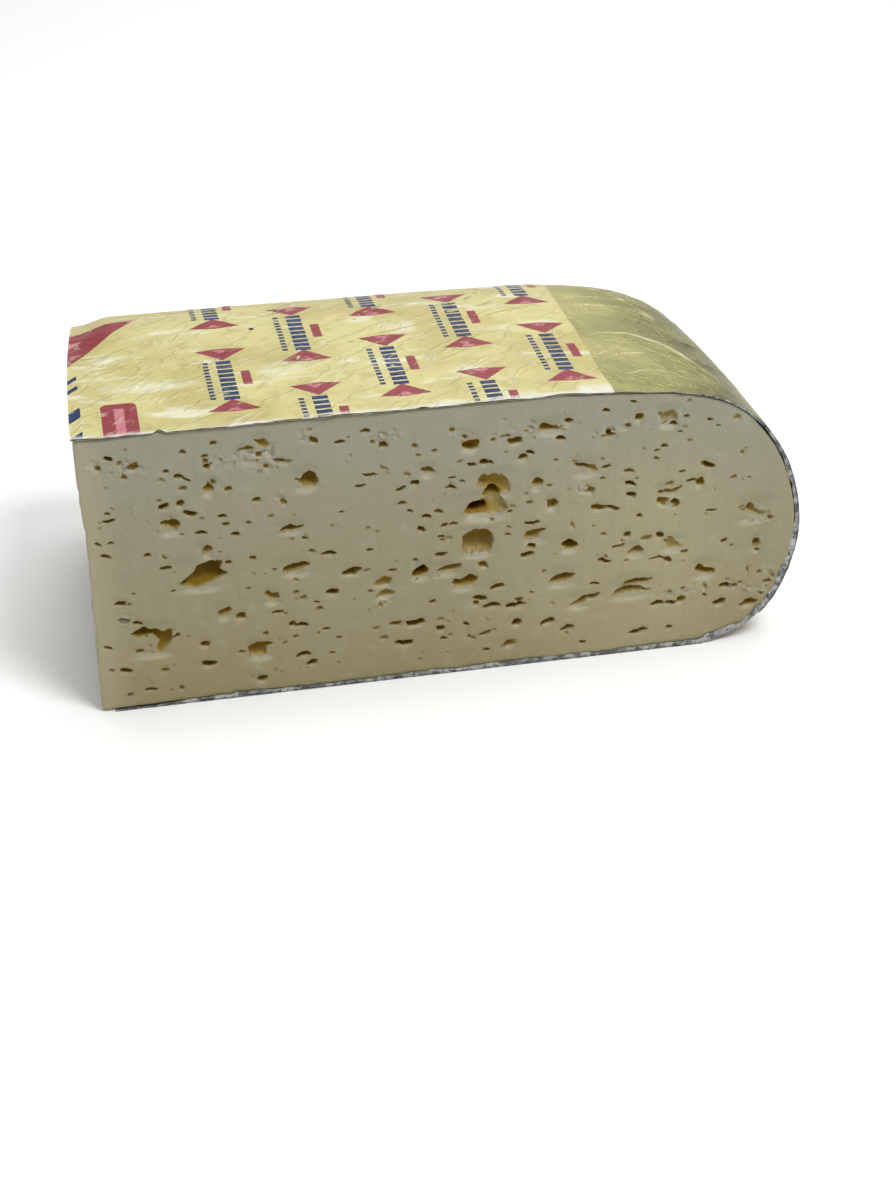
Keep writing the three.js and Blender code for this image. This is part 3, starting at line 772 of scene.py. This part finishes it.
# Painted highlight: paler within about 13 mm of the left end, where that corner catches the light.
left_edge_highlight = 1 - (x + (fine_cloud - 0.5) * 6).ramp(2, 13)
body = paste.mix(body, LEFT_EDGE_HIGHLIGHT, left_edge_highlight * 0.6)
body = paste.mix(body, CLOUD_PALE, (fine_cloud - 0.5).ramp(0.02, 0.3) * 0.35)
body = paste.mix(body, STREAK_DARK, (streak - 0.5).ramp(0.03, 0.35) * 0.28)
body = paste.mix(body, TORN_WHITE, paste.number("torn") * 0.22)
# Painted highlight on the slope under each eye, where the knife drew the cut in, and painted shade on the
# slight lip raised over it.
slope_light_and_shade = paste.number("slope_for_painted_light")
body = paste.mix(body, SLOPE_HIGHLIGHT, slope_light_and_shade.ramp(0.05, 0.8) * 0.55)
body = paste.mix(body, LIP_PAINTED_SHADE, (0 - slope_light_and_shade).ramp(0.0, 0.12) * 0.3)
# Painted shade inside the eyes: the deeper a point lies under its cut, the darker and browner it is.
inside = paste.mix(body, SHADED_EYE_BEIGE, depth_in.ramp(0.0, 0.35))
inside = paste.mix(inside, SHADED_EYE_OLIVE, depth_in.ramp(0.25, 1.5))
inside = paste.mix(inside, SHADED_EYE_BROWN, depth_in.ramp(2.5, 6.0))
paste.set(Base_Color=inside, Coat_Weight=0.35 - depth_in.ramp(0.1, 1.2) * 0.35)
grain = paste.noise(spot, 1.1, 4.0, 0.6)
pitted = paste.noise(paste.stretched(spot, (0.28, 0.28, 0.6)), 1.0, 2.0)
paste.set(Roughness=0.3 + fine_cloud * 0.16 + grain * 0.1)
relief = grain * 0.45 + streak * 0.5 + pitted * 0.7
paste.set(Normal=paste.bump(relief, 0.8, 0.0004))

loaf_points[:, 2] += PASTE_BASE
cheese = mesh_piece("cheese_block", loaf_points, loaf_faces, [paste])
add_number(cheese, "eye_depth", eye_depth)
add_number(cheese, "torn", torn_there)
add_number(cheese, "slope_for_painted_light", slope_for_painted_light)
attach(cheese, "root")
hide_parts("cheese")

# ---- Foil wrap -----------------------------------------------------------------------------------
# Thin aluminium foil, gold outside and bare inside, pressed over the loaf and cut through with it.
# It covers the top and the two bulging sides, and ends in a torn edge just above the table.

FOIL_GAP = 0.24  # from the paste's own surface to the foil
FOIL_THICKNESS = 0.14
FLAT_SHARE = 0.5  # of a sheet's run, before it starts down the bulge
FLAT_LENGTH = HALF_LENGTH - BULGE[0, 0]
FLAT_WIDTH = HALF_WIDTH - BULGE[0, 0] * BACK_STEEPNESS


def wrapped(a, b):
    """A place on the loaf, for two runs from 0 to 1: over the top and down the end, and over the
    top and down the back."""
    a, b = np.maximum(a, 1e-6), np.maximum(b, 1e-6)
    level_run = np.maximum(a, b)
    down = np.clip((level_run - FLAT_SHARE) / (1 - FLAT_SHARE), 0, 1) * BULGE_LENGTH
    inset = np.interp(down, along_bulge, smooth_inset)
    up = np.interp(down, along_bulge, smooth_height)
    flat = np.minimum(level_run / FLAT_SHARE, 1)
    p, q = a / level_run, b / level_run
    round_off = (p**CORNER_POWER + q**CORNER_POWER) ** (-1 / CORNER_POWER)
    p, q = p * round_off, q * round_off
    length = np.where(flat < 1, FLAT_LENGTH * flat, HALF_LENGTH - inset) - END_BOW * q**2 * flat
    width = np.where(flat < 1, FLAT_WIDTH * flat, HALF_WIDTH - inset * BACK_STEEPNESS)
    width = width - SIDE_BOW * p**2 * flat
    return np.stack([p * length, q * width, PASTE_BASE + up], -1)


def runs(places):
    """Distances over a sheet, along its rows and along its columns."""
    over = np.linalg.norm(np.diff(places, axis=0), axis=-1)
    across = np.linalg.norm(np.diff(places, axis=1), axis=-1)
    u = np.concatenate([np.zeros((1, places.shape[1])), np.cumsum(over, 0)])
    v = np.concatenate([np.zeros((places.shape[0], 1)), np.cumsum(across, 1)], 1)
    return u, v


def outward(places):
    """The direction that faces out of the loaf, at each place on a sheet."""
    normal = np.cross(np.gradient(places, axis=0), np.gradient(places, axis=1))
    return normal / np.maximum(np.linalg.norm(normal, axis=-1, keepdims=True), 1e-9)


# Folds pressed into the foil, as lines over the flat sheet: points, half width and height.
FOLDS = [
    ([(169, 44), (178, 47), (188, 46), (199, 38), (207, 24), (213, 8)], 0.9, 0.5),
    ([(166, 74), (178, 72), (195, 70), (210, 60)], 1.0, 0.4),
    ([(168, 84), (182, 80), (200, 79), (214, 70)], 0.8, 0.3),
    ([(171, 26), (182, 30), (190, 29)], 0.8, 0.3),
    ([(172, 12), (186, 17), (194, 16)], 0.8, 0.28),
    ([(176, 96), (190, 88), (199, 74), (204, 56)], 0.8, 0.34),
    ([(186, 104), (206, 96), (222, 84)], 0.8, 0.3),
    ([(196, 52), (208, 47), (222, 46)], 0.7, 0.26),
    ([(200, 34), (214, 30), (230, 32)], 0.7, 0.26),
    ([(174, 58), (184, 56), (192, 60)], 0.6, 0.22),
    ([(60, 30), (76, 35), (92, 44), (104, 58)], 0.9, 0.42),
    ([(64, 28), (84, 31), (102, 38), (122, 52)], 0.8, 0.34),
    ([(62, 36), (74, 45), (80, 58)], 0.8, 0.3),
    ([(46, 26), (60, 29), (72, 30), (88, 27), (100, 20)], 0.9, 0.36),
    ([(86, 52), (100, 60), (118, 66), (134, 76)], 0.8, 0.32),
    ([(108, 26), (122, 30), (138, 38), (150, 50)], 0.7, 0.26),
    ([(130, 58), (142, 66), (156, 72), (168, 74)], 0.8, 0.34),
    ([(8, 30), (22, 33), (38, 32), (52, 34)], 1.0, 0.24),
    ([(20, 12), (34, 14), (50, 9), (66, 10)], 0.9, 0.26),
    ([(104, 6), (118, 10), (136, 8), (152, 14)], 0.8, 0.24),
]
RANDOM_FOLDS = 150
folding = np.random.default_rng(77)
for _ in range(RANDOM_FOLDS):
    u0, v0 = folding.uniform(0, 330), folding.uniform(0, 200)
    heading = folding.normal(0.45, 0.6)
    line = [(u0, v0)]
    for _ in range(3):
        stride = folding.uniform(4, 13)
        heading += folding.normal(0, 0.32)
        u0, v0 = u0 + stride * math.cos(heading), v0 + stride * math.sin(heading)
        line.append((u0, v0))
    FOLDS.append((line, folding.uniform(0.55, 1.0), folding.uniform(0.1, 0.32)))


def crinkle(u, v):
    """How high the foil's waves and folds are, in millimetres, from 0 to about 0.6."""
    total = 0.11 + 0.07 * layered(u, v, 30, 51)
    slant = u * 0.8 + v * 0.6
    across = v * 0.8 - u * 0.6
    ridges = 1 - np.abs(layered(slant / 3.0, across, 5.5, 61))
    total = total + 0.11 * np.clip(ridges - 0.62, 0, 1) * smoothstep(-0.25, 0.45, mottle(u, v, 28, 66))
    for line, half_width, height in FOLDS:
        line = np.array(line)
        reach = 3.2 * half_width
        near = (
            (u > line[:, 0].min() - reach) & (u < line[:, 0].max() + reach)
            & (v > line[:, 1].min() - reach) & (v < line[:, 1].max() + reach)
        )
        if not near.any():
            continue
        un, vn = u[near], v[near]
        nearest = np.full(un.shape, 1e9)
        share = np.zeros(un.shape)
        for k in range(len(line) - 1):
            step = line[k + 1] - line[k]
            t = np.clip(((un - line[k, 0]) * step[0] + (vn - line[k, 1]) * step[1]) / (step @ step), 0, 1)
            gap = np.hypot(un - line[k, 0] - t * step[0], vn - line[k, 1] - t * step[1])
            closer = gap < nearest
            nearest = np.where(closer, gap, nearest)
            share = np.where(closer, (k + t) / (len(line) - 1), share)
        fade = np.sin(np.pi * np.clip(share, 0.02, 0.98)) ** 0.6
        total[near] += height * fade * np.exp(-nearest / half_width)
    return total


HIGHEST_FOLD = 0.62


def stand_off(folds, u, v, facing):
    """How far the foil stands off: less where it is steep, with small waves along its front edge."""
    level = smoothstep(0.2, 0.75, facing[..., 2])
    held = np.minimum(folds, 0.3 + 0.3 * level) * (1 - 0.7 * np.exp(-v / 2.5))
    waves = 0.24 * np.maximum(layered(u, v, 4.5, 74), -0.5)
    return np.minimum(np.maximum(held + np.exp(-v / 1.4) * waves, 0), HIGHEST_FOLD)


def sheet_piece(name, outer, inner, finishes):
    """A thin closed sheet from two grids of points. A second finish is for all but its outside."""
    rows, columns = outer.shape[:2]
    index = np.arange(rows * columns).reshape(rows, columns)
    top = np.stack([index[:-1, :-1], index[1:, :-1], index[1:, 1:], index[:-1, 1:]], -1).reshape(-1, 4)
    under = top[:, ::-1] + rows * columns
    rim = np.concatenate([index[0, :-1], index[:-1, -1], index[-1, :0:-1], index[:0:-1, 0]])
    ahead_of = np.roll(rim, -1)
    edge = np.stack([ahead_of, rim, rim + rows * columns, ahead_of + rows * columns], -1)
    places = np.concatenate([outer.reshape(-1, 3), inner.reshape(-1, 3)])
    faces = np.concatenate([top, under, edge])
    shades = np.concatenate([np.zeros(len(top)), np.ones(len(under) + len(edge))])
    return mesh_piece(name, places, faces, finishes, shades * (len(finishes) - 1))


# Rows are closer together where the foil is bare. The foot stops short of the table, unevenly.
FOOT_RUN = 0.935
UNEVEN_FROM = 0.9
a_run = np.concatenate([np.linspace(0, 0.49, 60), np.linspace(0.492, FOOT_RUN, 215)])
b_run = np.concatenate([np.linspace(0, 0.5, 96), np.linspace(0.503, FOOT_RUN, 140)])
A, B = np.meshgrid(a_run, b_run, indexing="ij")
A = A + 0.006 * layered(B * 90, A * 90, 4, 71) * np.maximum(A - UNEVEN_FROM, 0) / (FOOT_RUN - UNEVEN_FROM)
B = B + 0.006 * layered(A * 90, B * 90, 4, 72) * np.maximum(B - UNEVEN_FROM, 0) / (FOOT_RUN - UNEVEN_FROM)
skin = wrapped(A, B)
u_run, v_run = runs(skin)
facing = outward(skin)
folds = crinkle(u_run, v_run)
foil_outer = skin + facing * (FOIL_GAP + stand_off(folds, u_run, v_run, facing))[..., None]
foil_outer[:, 0, 1] = 0.6 * (0.25 + 0.22 * layered(u_run[:, 0], 0 * u_run[:, 0], 5, 75))
NICK = np.array([(25.2, 0), (26.6, 1.9), (27.6, 1.2), (28.8, 0)])  # a tear in the front edge
foil_outer[..., 1] = np.maximum(foil_outer[..., 1], np.interp(skin[..., 0], NICK[:, 0], NICK[:, 1]))
foil_inner = foil_outer - facing * FOIL_THICKNESS

gold = Finish("gold_foil", Metallic=1.0)
spot = gold.place()
x, y, z = gold.parts(spot)
slant, across = x * 0.75 - y * 0.66, x * 0.66 + y * 0.75
drawn = gold.node("ShaderNodeCombineXYZ", {}, {0: slant * 0.035, 1: across * 0.13, 2: z * 0.12})
fine_creases = gold.noise(gold.stretched(spot, (0.5, 1.4, 1.0)), 0.55, 5.0, 0.62)
mat = gold.noise(spot, 0.05, 4.0)
GOLD_DARK, GOLD_PALE = (0.32, 0.302, 0.112, 1), (0.43, 0.408, 0.164, 1)
FOLD_HIGHLIGHT = (0.78, 0.75, 0.45, 1)
tone = gold.mix(GOLD_DARK, GOLD_PALE, (mat - 0.5).ramp(-0.12, 0.14))
# Painted highlight along the foil's folds.
tone = gold.mix(tone, FOLD_HIGHLIGHT, gold.number("crease").ramp(0.24, 0.5) * 0.75)
gold.set(Base_Color=tone, Roughness=0.36 + (mat - 0.5) * 0.22 + (fine_creases - 0.5) * 0.12)
gold.set(Normal=gold.bump(gold.creases(drawn, 0.03) * 0.25 + fine_creases * 0.8, 0.8, 0.0009))

bare = Finish("bare_foil", Metallic=1.0)
spot = bare.place()
x, y, z = bare.parts(spot)
near_cut = 1 - y.ramp(0.9, 2.0)
dull = bare.noise(spot, 0.3, 5.0, 0.6)
cloudy = bare.noise(spot, 0.03, 4.0)
FLAT_DARK, FLAT_PALE = (0.34, 0.345, 0.33, 1), (0.46, 0.465, 0.44, 1)
CRUSHED_DARK, CRUSHED_PALE = (0.16, 0.17, 0.165, 1), (0.56, 0.57, 0.54, 1)
flat_grey = bare.mix(FLAT_DARK, FLAT_PALE, (cloudy - 0.5).ramp(-0.15, 0.15))
crushed_grey = bare.mix(CRUSHED_DARK, CRUSHED_PALE, (dull - 0.5).ramp(-0.12, 0.14))
bare.set(Base_Color=bare.mix(flat_grey, crushed_grey, near_cut), Roughness=0.34 + dull * 0.2)
bent = bare.node("ShaderNodeCombineXYZ", {}, {0: (x + y) * 0.03, 1: (y - x) * 0.1, 2: z * 0.1})
crushed = bare.noise(spot, 0.9, 5.0, 0.65) + bare.creases(bent, 0.05) * 0.5
bare.set(Normal=bare.bump(crushed, 1.0, 0.001))

foil = sheet_piece("foil_wrapping", foil_outer, foil_inner, [gold, bare])
add_number(foil, "crease", np.tile(folds.ravel(), 2))
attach(foil, "root")
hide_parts("foil_wrap")

# ---- Folded foil edge ----------------------------------------------------------------------------
# Where the knife left the bulge, the cut edge of the foil is crushed and folded over the paste, as a
# narrow crumpled strip of bare metal round the end of the front cut.

LIP_WIDTH = 2.5
lip_run = np.linspace(0.62, 0.992, 420)
rim_line = wrapped(lip_run, np.zeros_like(lip_run))
rim_normal = np.gradient(rim_line, axis=0)[:, [2, 1, 0]] * np.array([1, 0, -1])
rim_normal /= np.linalg.norm(rim_normal, axis=-1, keepdims=True)
loaf_middle = np.array([120, 0, 50])
rim_normal *= np.sign((rim_normal * (rim_line - loaf_middle)).sum(-1, keepdims=True))
rim_arc = np.concatenate([[0], np.cumsum(np.linalg.norm(np.diff(rim_line, axis=0), axis=-1))])
low_share = smoothstep(40, 90, rim_arc)
lip_share = smoothstep(-10, 55, rim_arc) * (0.6 + 0.4 * low_share)
inner_edge = LIP_WIDTH * lip_share * (0.8 + 0.3 * layered(rim_arc, 0 * rim_arc, 7, 81, 4)) + 0.25
ACROSS = 9
lip_grid = np.zeros((len(lip_run), ACROSS, 3))
for k in range(ACROSS):
    share = k / (ACROSS - 1)
    pleat = layered(rim_arc, np.full_like(rim_arc, share * 5), 2.4, 83)
    lip_grid[:, k] = rim_line + rim_normal * (FOIL_GAP + 0.2 - share * inner_edge)[:, None]
    hump = 0.378 * math.sin(math.pi * min(share * 1.15, 1))
    pleats = 0.3 * pleat * math.sin(math.pi * min(share + 0.15, 1))
    lip_grid[:, k, 1] = np.clip(0.62 - hump - pleats, 0.03, 0.85)
lip_back = lip_grid + np.array([0, 0.12, 0])
lip = sheet_piece("foil_cut_edge", lip_grid, lip_back, [bare])
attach(lip, "root")

# ---- Base foil -----------------------------------------------------------------------------------
# The same foil under the loaf, flattened by its weight. It was cut a little short on the left, and its
# front edge is pressed up against the foot of the cut.

base_low, base_high = (corner * 1000 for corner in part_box("foil_base"))
base_x0 = base_low.x - CORNER.x
base_x = np.linspace(base_x0, HALF_LENGTH - BULGE[-1, 0] + 3, 300)
base_y = np.concatenate([np.linspace(0.1, 6, 14), np.linspace(8, base_high.y - CORNER.y, 60)])
XB, YB = np.meshgrid(base_x, base_y, indexing="ij")
end_x = HALF_LENGTH - BULGE[-1, 0] - END_BOW * (YB / HALF_WIDTH) ** 2 - 14 * smoothstep(84, 103, YB) ** 2
XB = base_x0 + (XB - base_x0) * (end_x - base_x0 + 2) / (base_x[-1] - base_x0)
XB = XB + 0.5 * layered(YB, 0 * YB, 6, 91) * np.exp(-(XB - base_x0) / 6)
base_top = 0.2 + 0.1 * layered(XB, YB, 7, 92)
base_sheet = np.stack([XB, YB, np.clip(base_top, 0.06, 0.4)], -1)
base_under = base_sheet - np.array([0, 0, 0.05])
base = sheet_piece("foil_base_sheet", base_sheet, base_under, [bare])
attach(base, "root")
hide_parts("foil_base")

# The pressed-up strip along the foot of the front cut. It climbs with the bulge at its right end.
strip_x = np.linspace(base_x0 + 0.2, HALF_LENGTH - BULGE[-1, 0] + 6, 520)
strip_height = 1.5 + 0.45 * layered(strip_x, 0 * strip_x, 14, 95)
strip_height = strip_height + 0.22 * layered(strip_x, 0 * strip_x, 2.5, 96)
strip_height = strip_height * (0.35 + 0.65 * smoothstep(0, 50, strip_x - base_x0))
STRIP_ROWS = 7
strip = np.zeros((len(strip_x), STRIP_ROWS, 3))
FOOT_SAMPLES = 200  # of the bulge, up from its foot
foot_inset, foot_height = smooth_inset[::-1][:FOOT_SAMPLES], smooth_height[::-1][:FOOT_SAMPLES]
lift = np.interp(strip_x, HALF_LENGTH - foot_inset, foot_height, left=0)
for k in range(STRIP_ROWS):
    share = k / (STRIP_ROWS - 1)
    pleat = layered(strip_x, np.full_like(strip_x, share * 3), 2.0, 97)
    strip[:, k, 0] = strip_x
    strip[:, k, 1] = np.clip(0.34 - 0.12 * math.sin(math.pi * share) - 0.12 * pleat, 0.03, 0.6)
    strip[:, k, 2] = 0.1 + lift * 0.9 + share * strip_height
strip_back = strip + np.array([0, 0.1, 0])
foot_strip = sheet_piece("foil_foot_edge", strip[:, ::-1], strip_back[:, ::-1], [bare])
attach(foot_strip, "root")

# ---- Label ---------------------------------------------------------------------------------------
# A thin sheet of printed film stuck over the foil. It covers the middle of the loaf, ends in a
# straight edge short of the bare end, and laps down over the back. It follows the foil's folds. Its
# print is plain shapes, placed by repeats.

LABEL_LENGTH = 169.5
LABEL_LIFT = 0.14  # over the foil
BACK_LAP = 62  # down the bulge
LABEL_BACK_RUN = FLAT_SHARE + (1 - FLAT_SHARE) * BACK_LAP / BULGE_LENGTH
label_x = np.concatenate([np.linspace(0, 168, 236), np.linspace(168.5, LABEL_LENGTH, 4)])
label_b = np.concatenate([np.linspace(0, 0.5, 150), np.linspace(0.5025, LABEL_BACK_RUN, 70)])
search = np.linspace(0, 0.8, 2400)
label_a = np.zeros((len(label_x), len(label_b)))
for j, b in enumerate(label_b):
    reached = wrapped(search, np.full_like(search, b))[:, 0]
    rising = np.maximum.accumulate(reached)
    edge_wave = 0.25 * mottle(np.array(b * 200), np.array(0.0), 9, 101)
    wavy_x = label_x + edge_wave * np.maximum(label_x - 160, 0) / 9.5
    label_a[:, j] = np.interp(wavy_x, rising, search)
label_B = np.broadcast_to(label_b, label_a.shape)
skin = wrapped(label_a, label_B)
u_label, v_label = runs(skin)
facing = outward(skin)
# The foil's folds, read at the same place on the sheet as the foil reads them.
folds = crinkle(u_label, v_label)
lift_off = stand_off(folds, u_label, v_label, facing) + LABEL_LIFT
label_outer = skin + facing * (FOIL_GAP + lift_off)[..., None]
# Its front edge is ragged, with a nick over the foil's and a small flap that has lifted there.
ragged_edge = 0.45 + 0.4 * layered(u_label[:, :1], 0 * u_label[:, :1], 9, 103, 4)
label_outer[..., 1] = np.maximum(label_outer[..., 1], np.clip(ragged_edge, 0.05, 1.4))
label_nick = np.interp(skin[..., 0], NICK[:, 0], NICK[:, 1] * 1.3)
label_outer[..., 1] = np.maximum(label_outer[..., 1], label_nick)
off_flap = ((skin[..., 0] - 25.6) / 0.8) ** 2 + (skin[..., 1] / 2.2) ** 2
label_outer[..., 2] += 0.25 * np.exp(-off_flap)
label_inner = label_outer - facing * 0.06

film = Finish("printed_film", Specular_IOR_Level=0.2)
spot = film.place()
x, y, z = film.parts(spot)
v = film.number("run_back")
bleed = film.noise(spot, 0.9, 3.0)
ragged_ink = (bleed - 0.5) * 0.5
px, pv = x + ragged_ink, v + ragged_ink

RED = (0.235, 0.006, 0.03, 1)
PALE_RED = (0.50, 0.17, 0.20, 1)
BLUE = (0.004, 0.022, 0.095, 1)
COLUMN_PITCH = 26.9
FIRST_COLUMN = 51.0
PRINT_START = FIRST_COLUMN - COLUMN_PITCH / 2
MOTIF_PITCH = 63.0
MOTIF_START = 33.0

# Where a point falls in the repeat: across a column, and along it from the motif's middle.
from_first = px - PRINT_START
column = film.node("ShaderNodeMath", {"operation": "FLOOR"}, {0: from_first / COLUMN_PITCH})
s = from_first.repeat(COLUMN_PITCH) - COLUMN_PITCH / 2
stepped = pv - (MOTIF_START - MOTIF_PITCH / 2) - column * (MOTIF_PITCH / 2)
t = stepped.repeat(MOTIF_PITCH) - MOTIF_PITCH / 2
near_left = px.below(PRINT_START)
printed = 1 - near_left

# Triangles that point at each other, with a pale middle; a capsule, bars and dashes between them.
out = t.size() - 19.0
kite_width = ((out + 4.6) / 7.8).least((4.4 - out) / 1.1)
red_ink = s.size().below(kite_width * 8.2)
pale_ink = s.size().below(kite_width * 8.2 - 5.6) * (bleed - 0.42).ramp(0.0, 0.06)
capsule = (s - 6.2).size().below(1.5) * t.size().below(5.2)
red_ink = red_ink.most(capsule)
strokes = (t + 15).repeat(3.3).below(2.45)
blocks = s.size().below(2.5) * t.size().below(14.8) * strokes
dashes = (s + 5.9).size().below(0.9) * t.size().below(14.0) * (t + 14).repeat(2.35).below(1.5)
blue_ink = blocks.most(dashes)

# By the left cut: a large triangle, a badge with a pale bar, and slanted bars.
corner_red = pv.below(px * 0.18 + 84.0) * (px * 1.5 + 50.5).below(pv)
corner_pale = pv.below(px * 0.1 + 75.0) * (px * 1.5 + 65.0).below(pv)
badge_x, badge_v = (px - 15.6).size() - 3.2, (pv - 8.5).size() - 11.5
badge = (badge_x.most(0.0) ** 2.0 + badge_v.most(0.0) ** 2.0).below(2.4**2)
badge_bar = (px - 15.6).size().below(1.5) * (pv - 8.5).size().below(10.5)
slanted = pv - px * 1.2
bars = 0.0
for middle, half in ((-1.5, 2.6), (14.4, 3.4), (32.3, 1.4), (39.3, 1.4)):
    bars = (slanted - middle).size().below(half) + bars
bars = bars * px.below(3.9)
red_ink = (red_ink * printed).most(corner_red.most(badge) * near_left)
blue_ink = (blue_ink * printed).most(bars)
pale_ink = (pale_ink * printed).most(corner_pale.most(badge_bar) * near_left)

soft = film.noise(spot, 0.035, 3.0)
blot = film.noise(spot, 0.12, 4.0, 0.6)
wear_and_sheen = film.noise(film.stretched(spot, (0.6, 1.7, 1.0)), 0.07, 5.0, 0.6)
PAPER_DARK, PAPER_PALE = (0.47, 0.41, 0.155, 1), (0.565, 0.515, 0.225, 1)
paper = film.mix(PAPER_DARK, PAPER_PALE, (soft - 0.5).ramp(-0.12, 0.12))
paper = film.mix(paper, (0.40, 0.335, 0.12, 1), (blot - 0.5).ramp(0.02, 0.2) * 0.6)
# The film is paler in patches: a painted reflection of the lights on its sheen.
sheen_patches = (wear_and_sheen - 0.5).ramp(0.04, 0.2)
# The largest painted reflections: middle and half size.
SHEEN_PATCHES = ((27, 33, 17, 5), (70, 37, 11, 6), (128, 24, 9, 5), (112, 62, 8, 6))
for middle_x, middle_v, half_x, half_v in SHEEN_PATCHES:
    off_middle = ((px - middle_x) / half_x) ** 2.0 + ((pv - middle_v) / half_v) ** 2.0
    sheen_patches = sheen_patches.most((1.1 - off_middle + (blot - 0.5) * 3.0).ramp(0.0, 1.3) * 0.8)
paper = film.mix(paper, (0.70, 0.69, 0.52, 1), sheen_patches * 0.85)
# Darker and browner towards the back of the film's left end.
darker_back_left = (1 - (px / 30).least(1.0)) * (pv - 70).ramp(0.0, 22.0)
paper = film.mix(paper, (0.52, 0.43, 0.22, 1), darker_back_left * 0.6)
ink_wear = 1 - (wear_and_sheen - 0.5).ramp(0.12, 0.3) * 0.4
slant, across = x * 0.8 + y * 0.6, y * 0.8 - x * 0.6
drawn = film.node("ShaderNodeCombineXYZ", {}, {0: slant * 0.024, 1: across * 0.07, 2: z * 0.1})
fine_folds = film.creases(drawn, 0.024, 3.0, 0.55)
# Paler along the folds: partly ink worn off the ridges, partly a painted highlight along them.
crease_wear_and_highlight = film.number("crease").ramp(0.28, 0.6).most(fine_folds * (blot - 0.45).ramp(0.0, 0.15) * 0.8)
speck = ((px - 63) ** 2.0 + (pv - 70) ** 2.0).below(0.9)
inked = film.mix(paper, RED, red_ink * ink_wear * 0.95)
inked = film.mix(inked, PALE_RED, pale_ink * ink_wear)
inked = film.mix(inked, BLUE, blue_ink * ink_wear)
# Along the front edge and at its right corner the print is scuffed off.
scuffed = (1 - pv.ramp(0.3, 1.3)) * 0.75
scuffed = scuffed.most((1 - pv.ramp(0.8, 3.8)) * (wear_and_sheen - 0.42).ramp(0.0, 0.12))
right_corner = (1 - ((px - 166) / 9).size().ramp(0.6, 1.0)) * (1 - pv.ramp(3.0, 8.0))
scuffed = scuffed.most(right_corner * (bleed - 0.36).ramp(0, 0.1))
inked = film.mix(inked, (0.68, 0.68, 0.62, 1), scuffed * 0.85)
inked = film.mix(inked, (0.76, 0.74, 0.55, 1), crease_wear_and_highlight * 0.4)
inked = film.mix(inked, (0.02, 0.015, 0.01, 1), speck)
film.set(Base_Color=inked, Roughness=0.32 + (soft - 0.5) * 0.2 + scuffed * 0.3)
tiny = film.noise(film.stretched(spot, (0.45, 1.3, 1.0)), 0.5, 5.0, 0.6)
film.set(Normal=film.bump(tiny * 0.9 + fine_folds * 0.4, 0.8, 0.001))

label = sheet_piece("printed_label", label_outer, label_inner, [film])
add_number(label, "run_back", np.tile(v_label.ravel(), 2))
add_number(label, "crease", np.tile(folds.ravel(), 2))
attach(label, "root")
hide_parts("top_label")

# ---- Table and light -----------------------------------------------------------------------------
# A plain pale table top under three soft lights: the main one in front on the right, a broad one
# overhead and a weak one behind. Here lengths are metres.

HALF_TABLE = 6.0
table_corners = [(x * HALF_TABLE, y * HALF_TABLE, 0) for x, y in ((-1, -1), (1, -1), (1, 1), (-1, 1))]
floor_mesh = bpy.data.meshes.new("table_top")
floor_mesh.from_pydata(table_corners, [], [(0, 1, 2, 3)])
floor = bpy.data.objects.new("table_top", floor_mesh)
bpy.context.scene.collection.objects.link(floor)
table = Finish("table_paint", Roughness=0.6)
table.set(Base_Color=(0.98, 0.98, 0.98, 1))
floor_mesh.materials.append(table.material)

world = bpy.data.worlds.new("studio")
world.use_nodes = True
background = world.node_tree.nodes["Background"]
background.inputs["Color"].default_value = (1, 1, 1, 1)
background.inputs["Strength"].default_value = 0.34
bpy.context.scene.world = world


def soft_light(name, place, towards, width, power):
    """A round area light that faces a point."""
    data = bpy.data.lights.new(name, "AREA")
    data.shape = "DISK"
    data.size = width
    data.energy = power
    light = bpy.data.objects.new(name, data)
    light.location = place
    light.rotation_euler = (Vector(towards) - Vector(place)).to_track_quat("-Z", "Y").to_euler()
    bpy.context.scene.collection.objects.link(light)


soft_light("key", (0.42, -0.6, 1.25), (0, 0, 0.05), 0.5, 12.5)
soft_light("overhead", (0.1, 0.25, 1.6), (0, 0, 0), 1.2, 12)
soft_light("back_panel", (0.45, 1.6, 0.8), (0, 0, 0.05), 1.1, 4.5)
bpy.context.scene.view_settings.view_transform = "Standard"
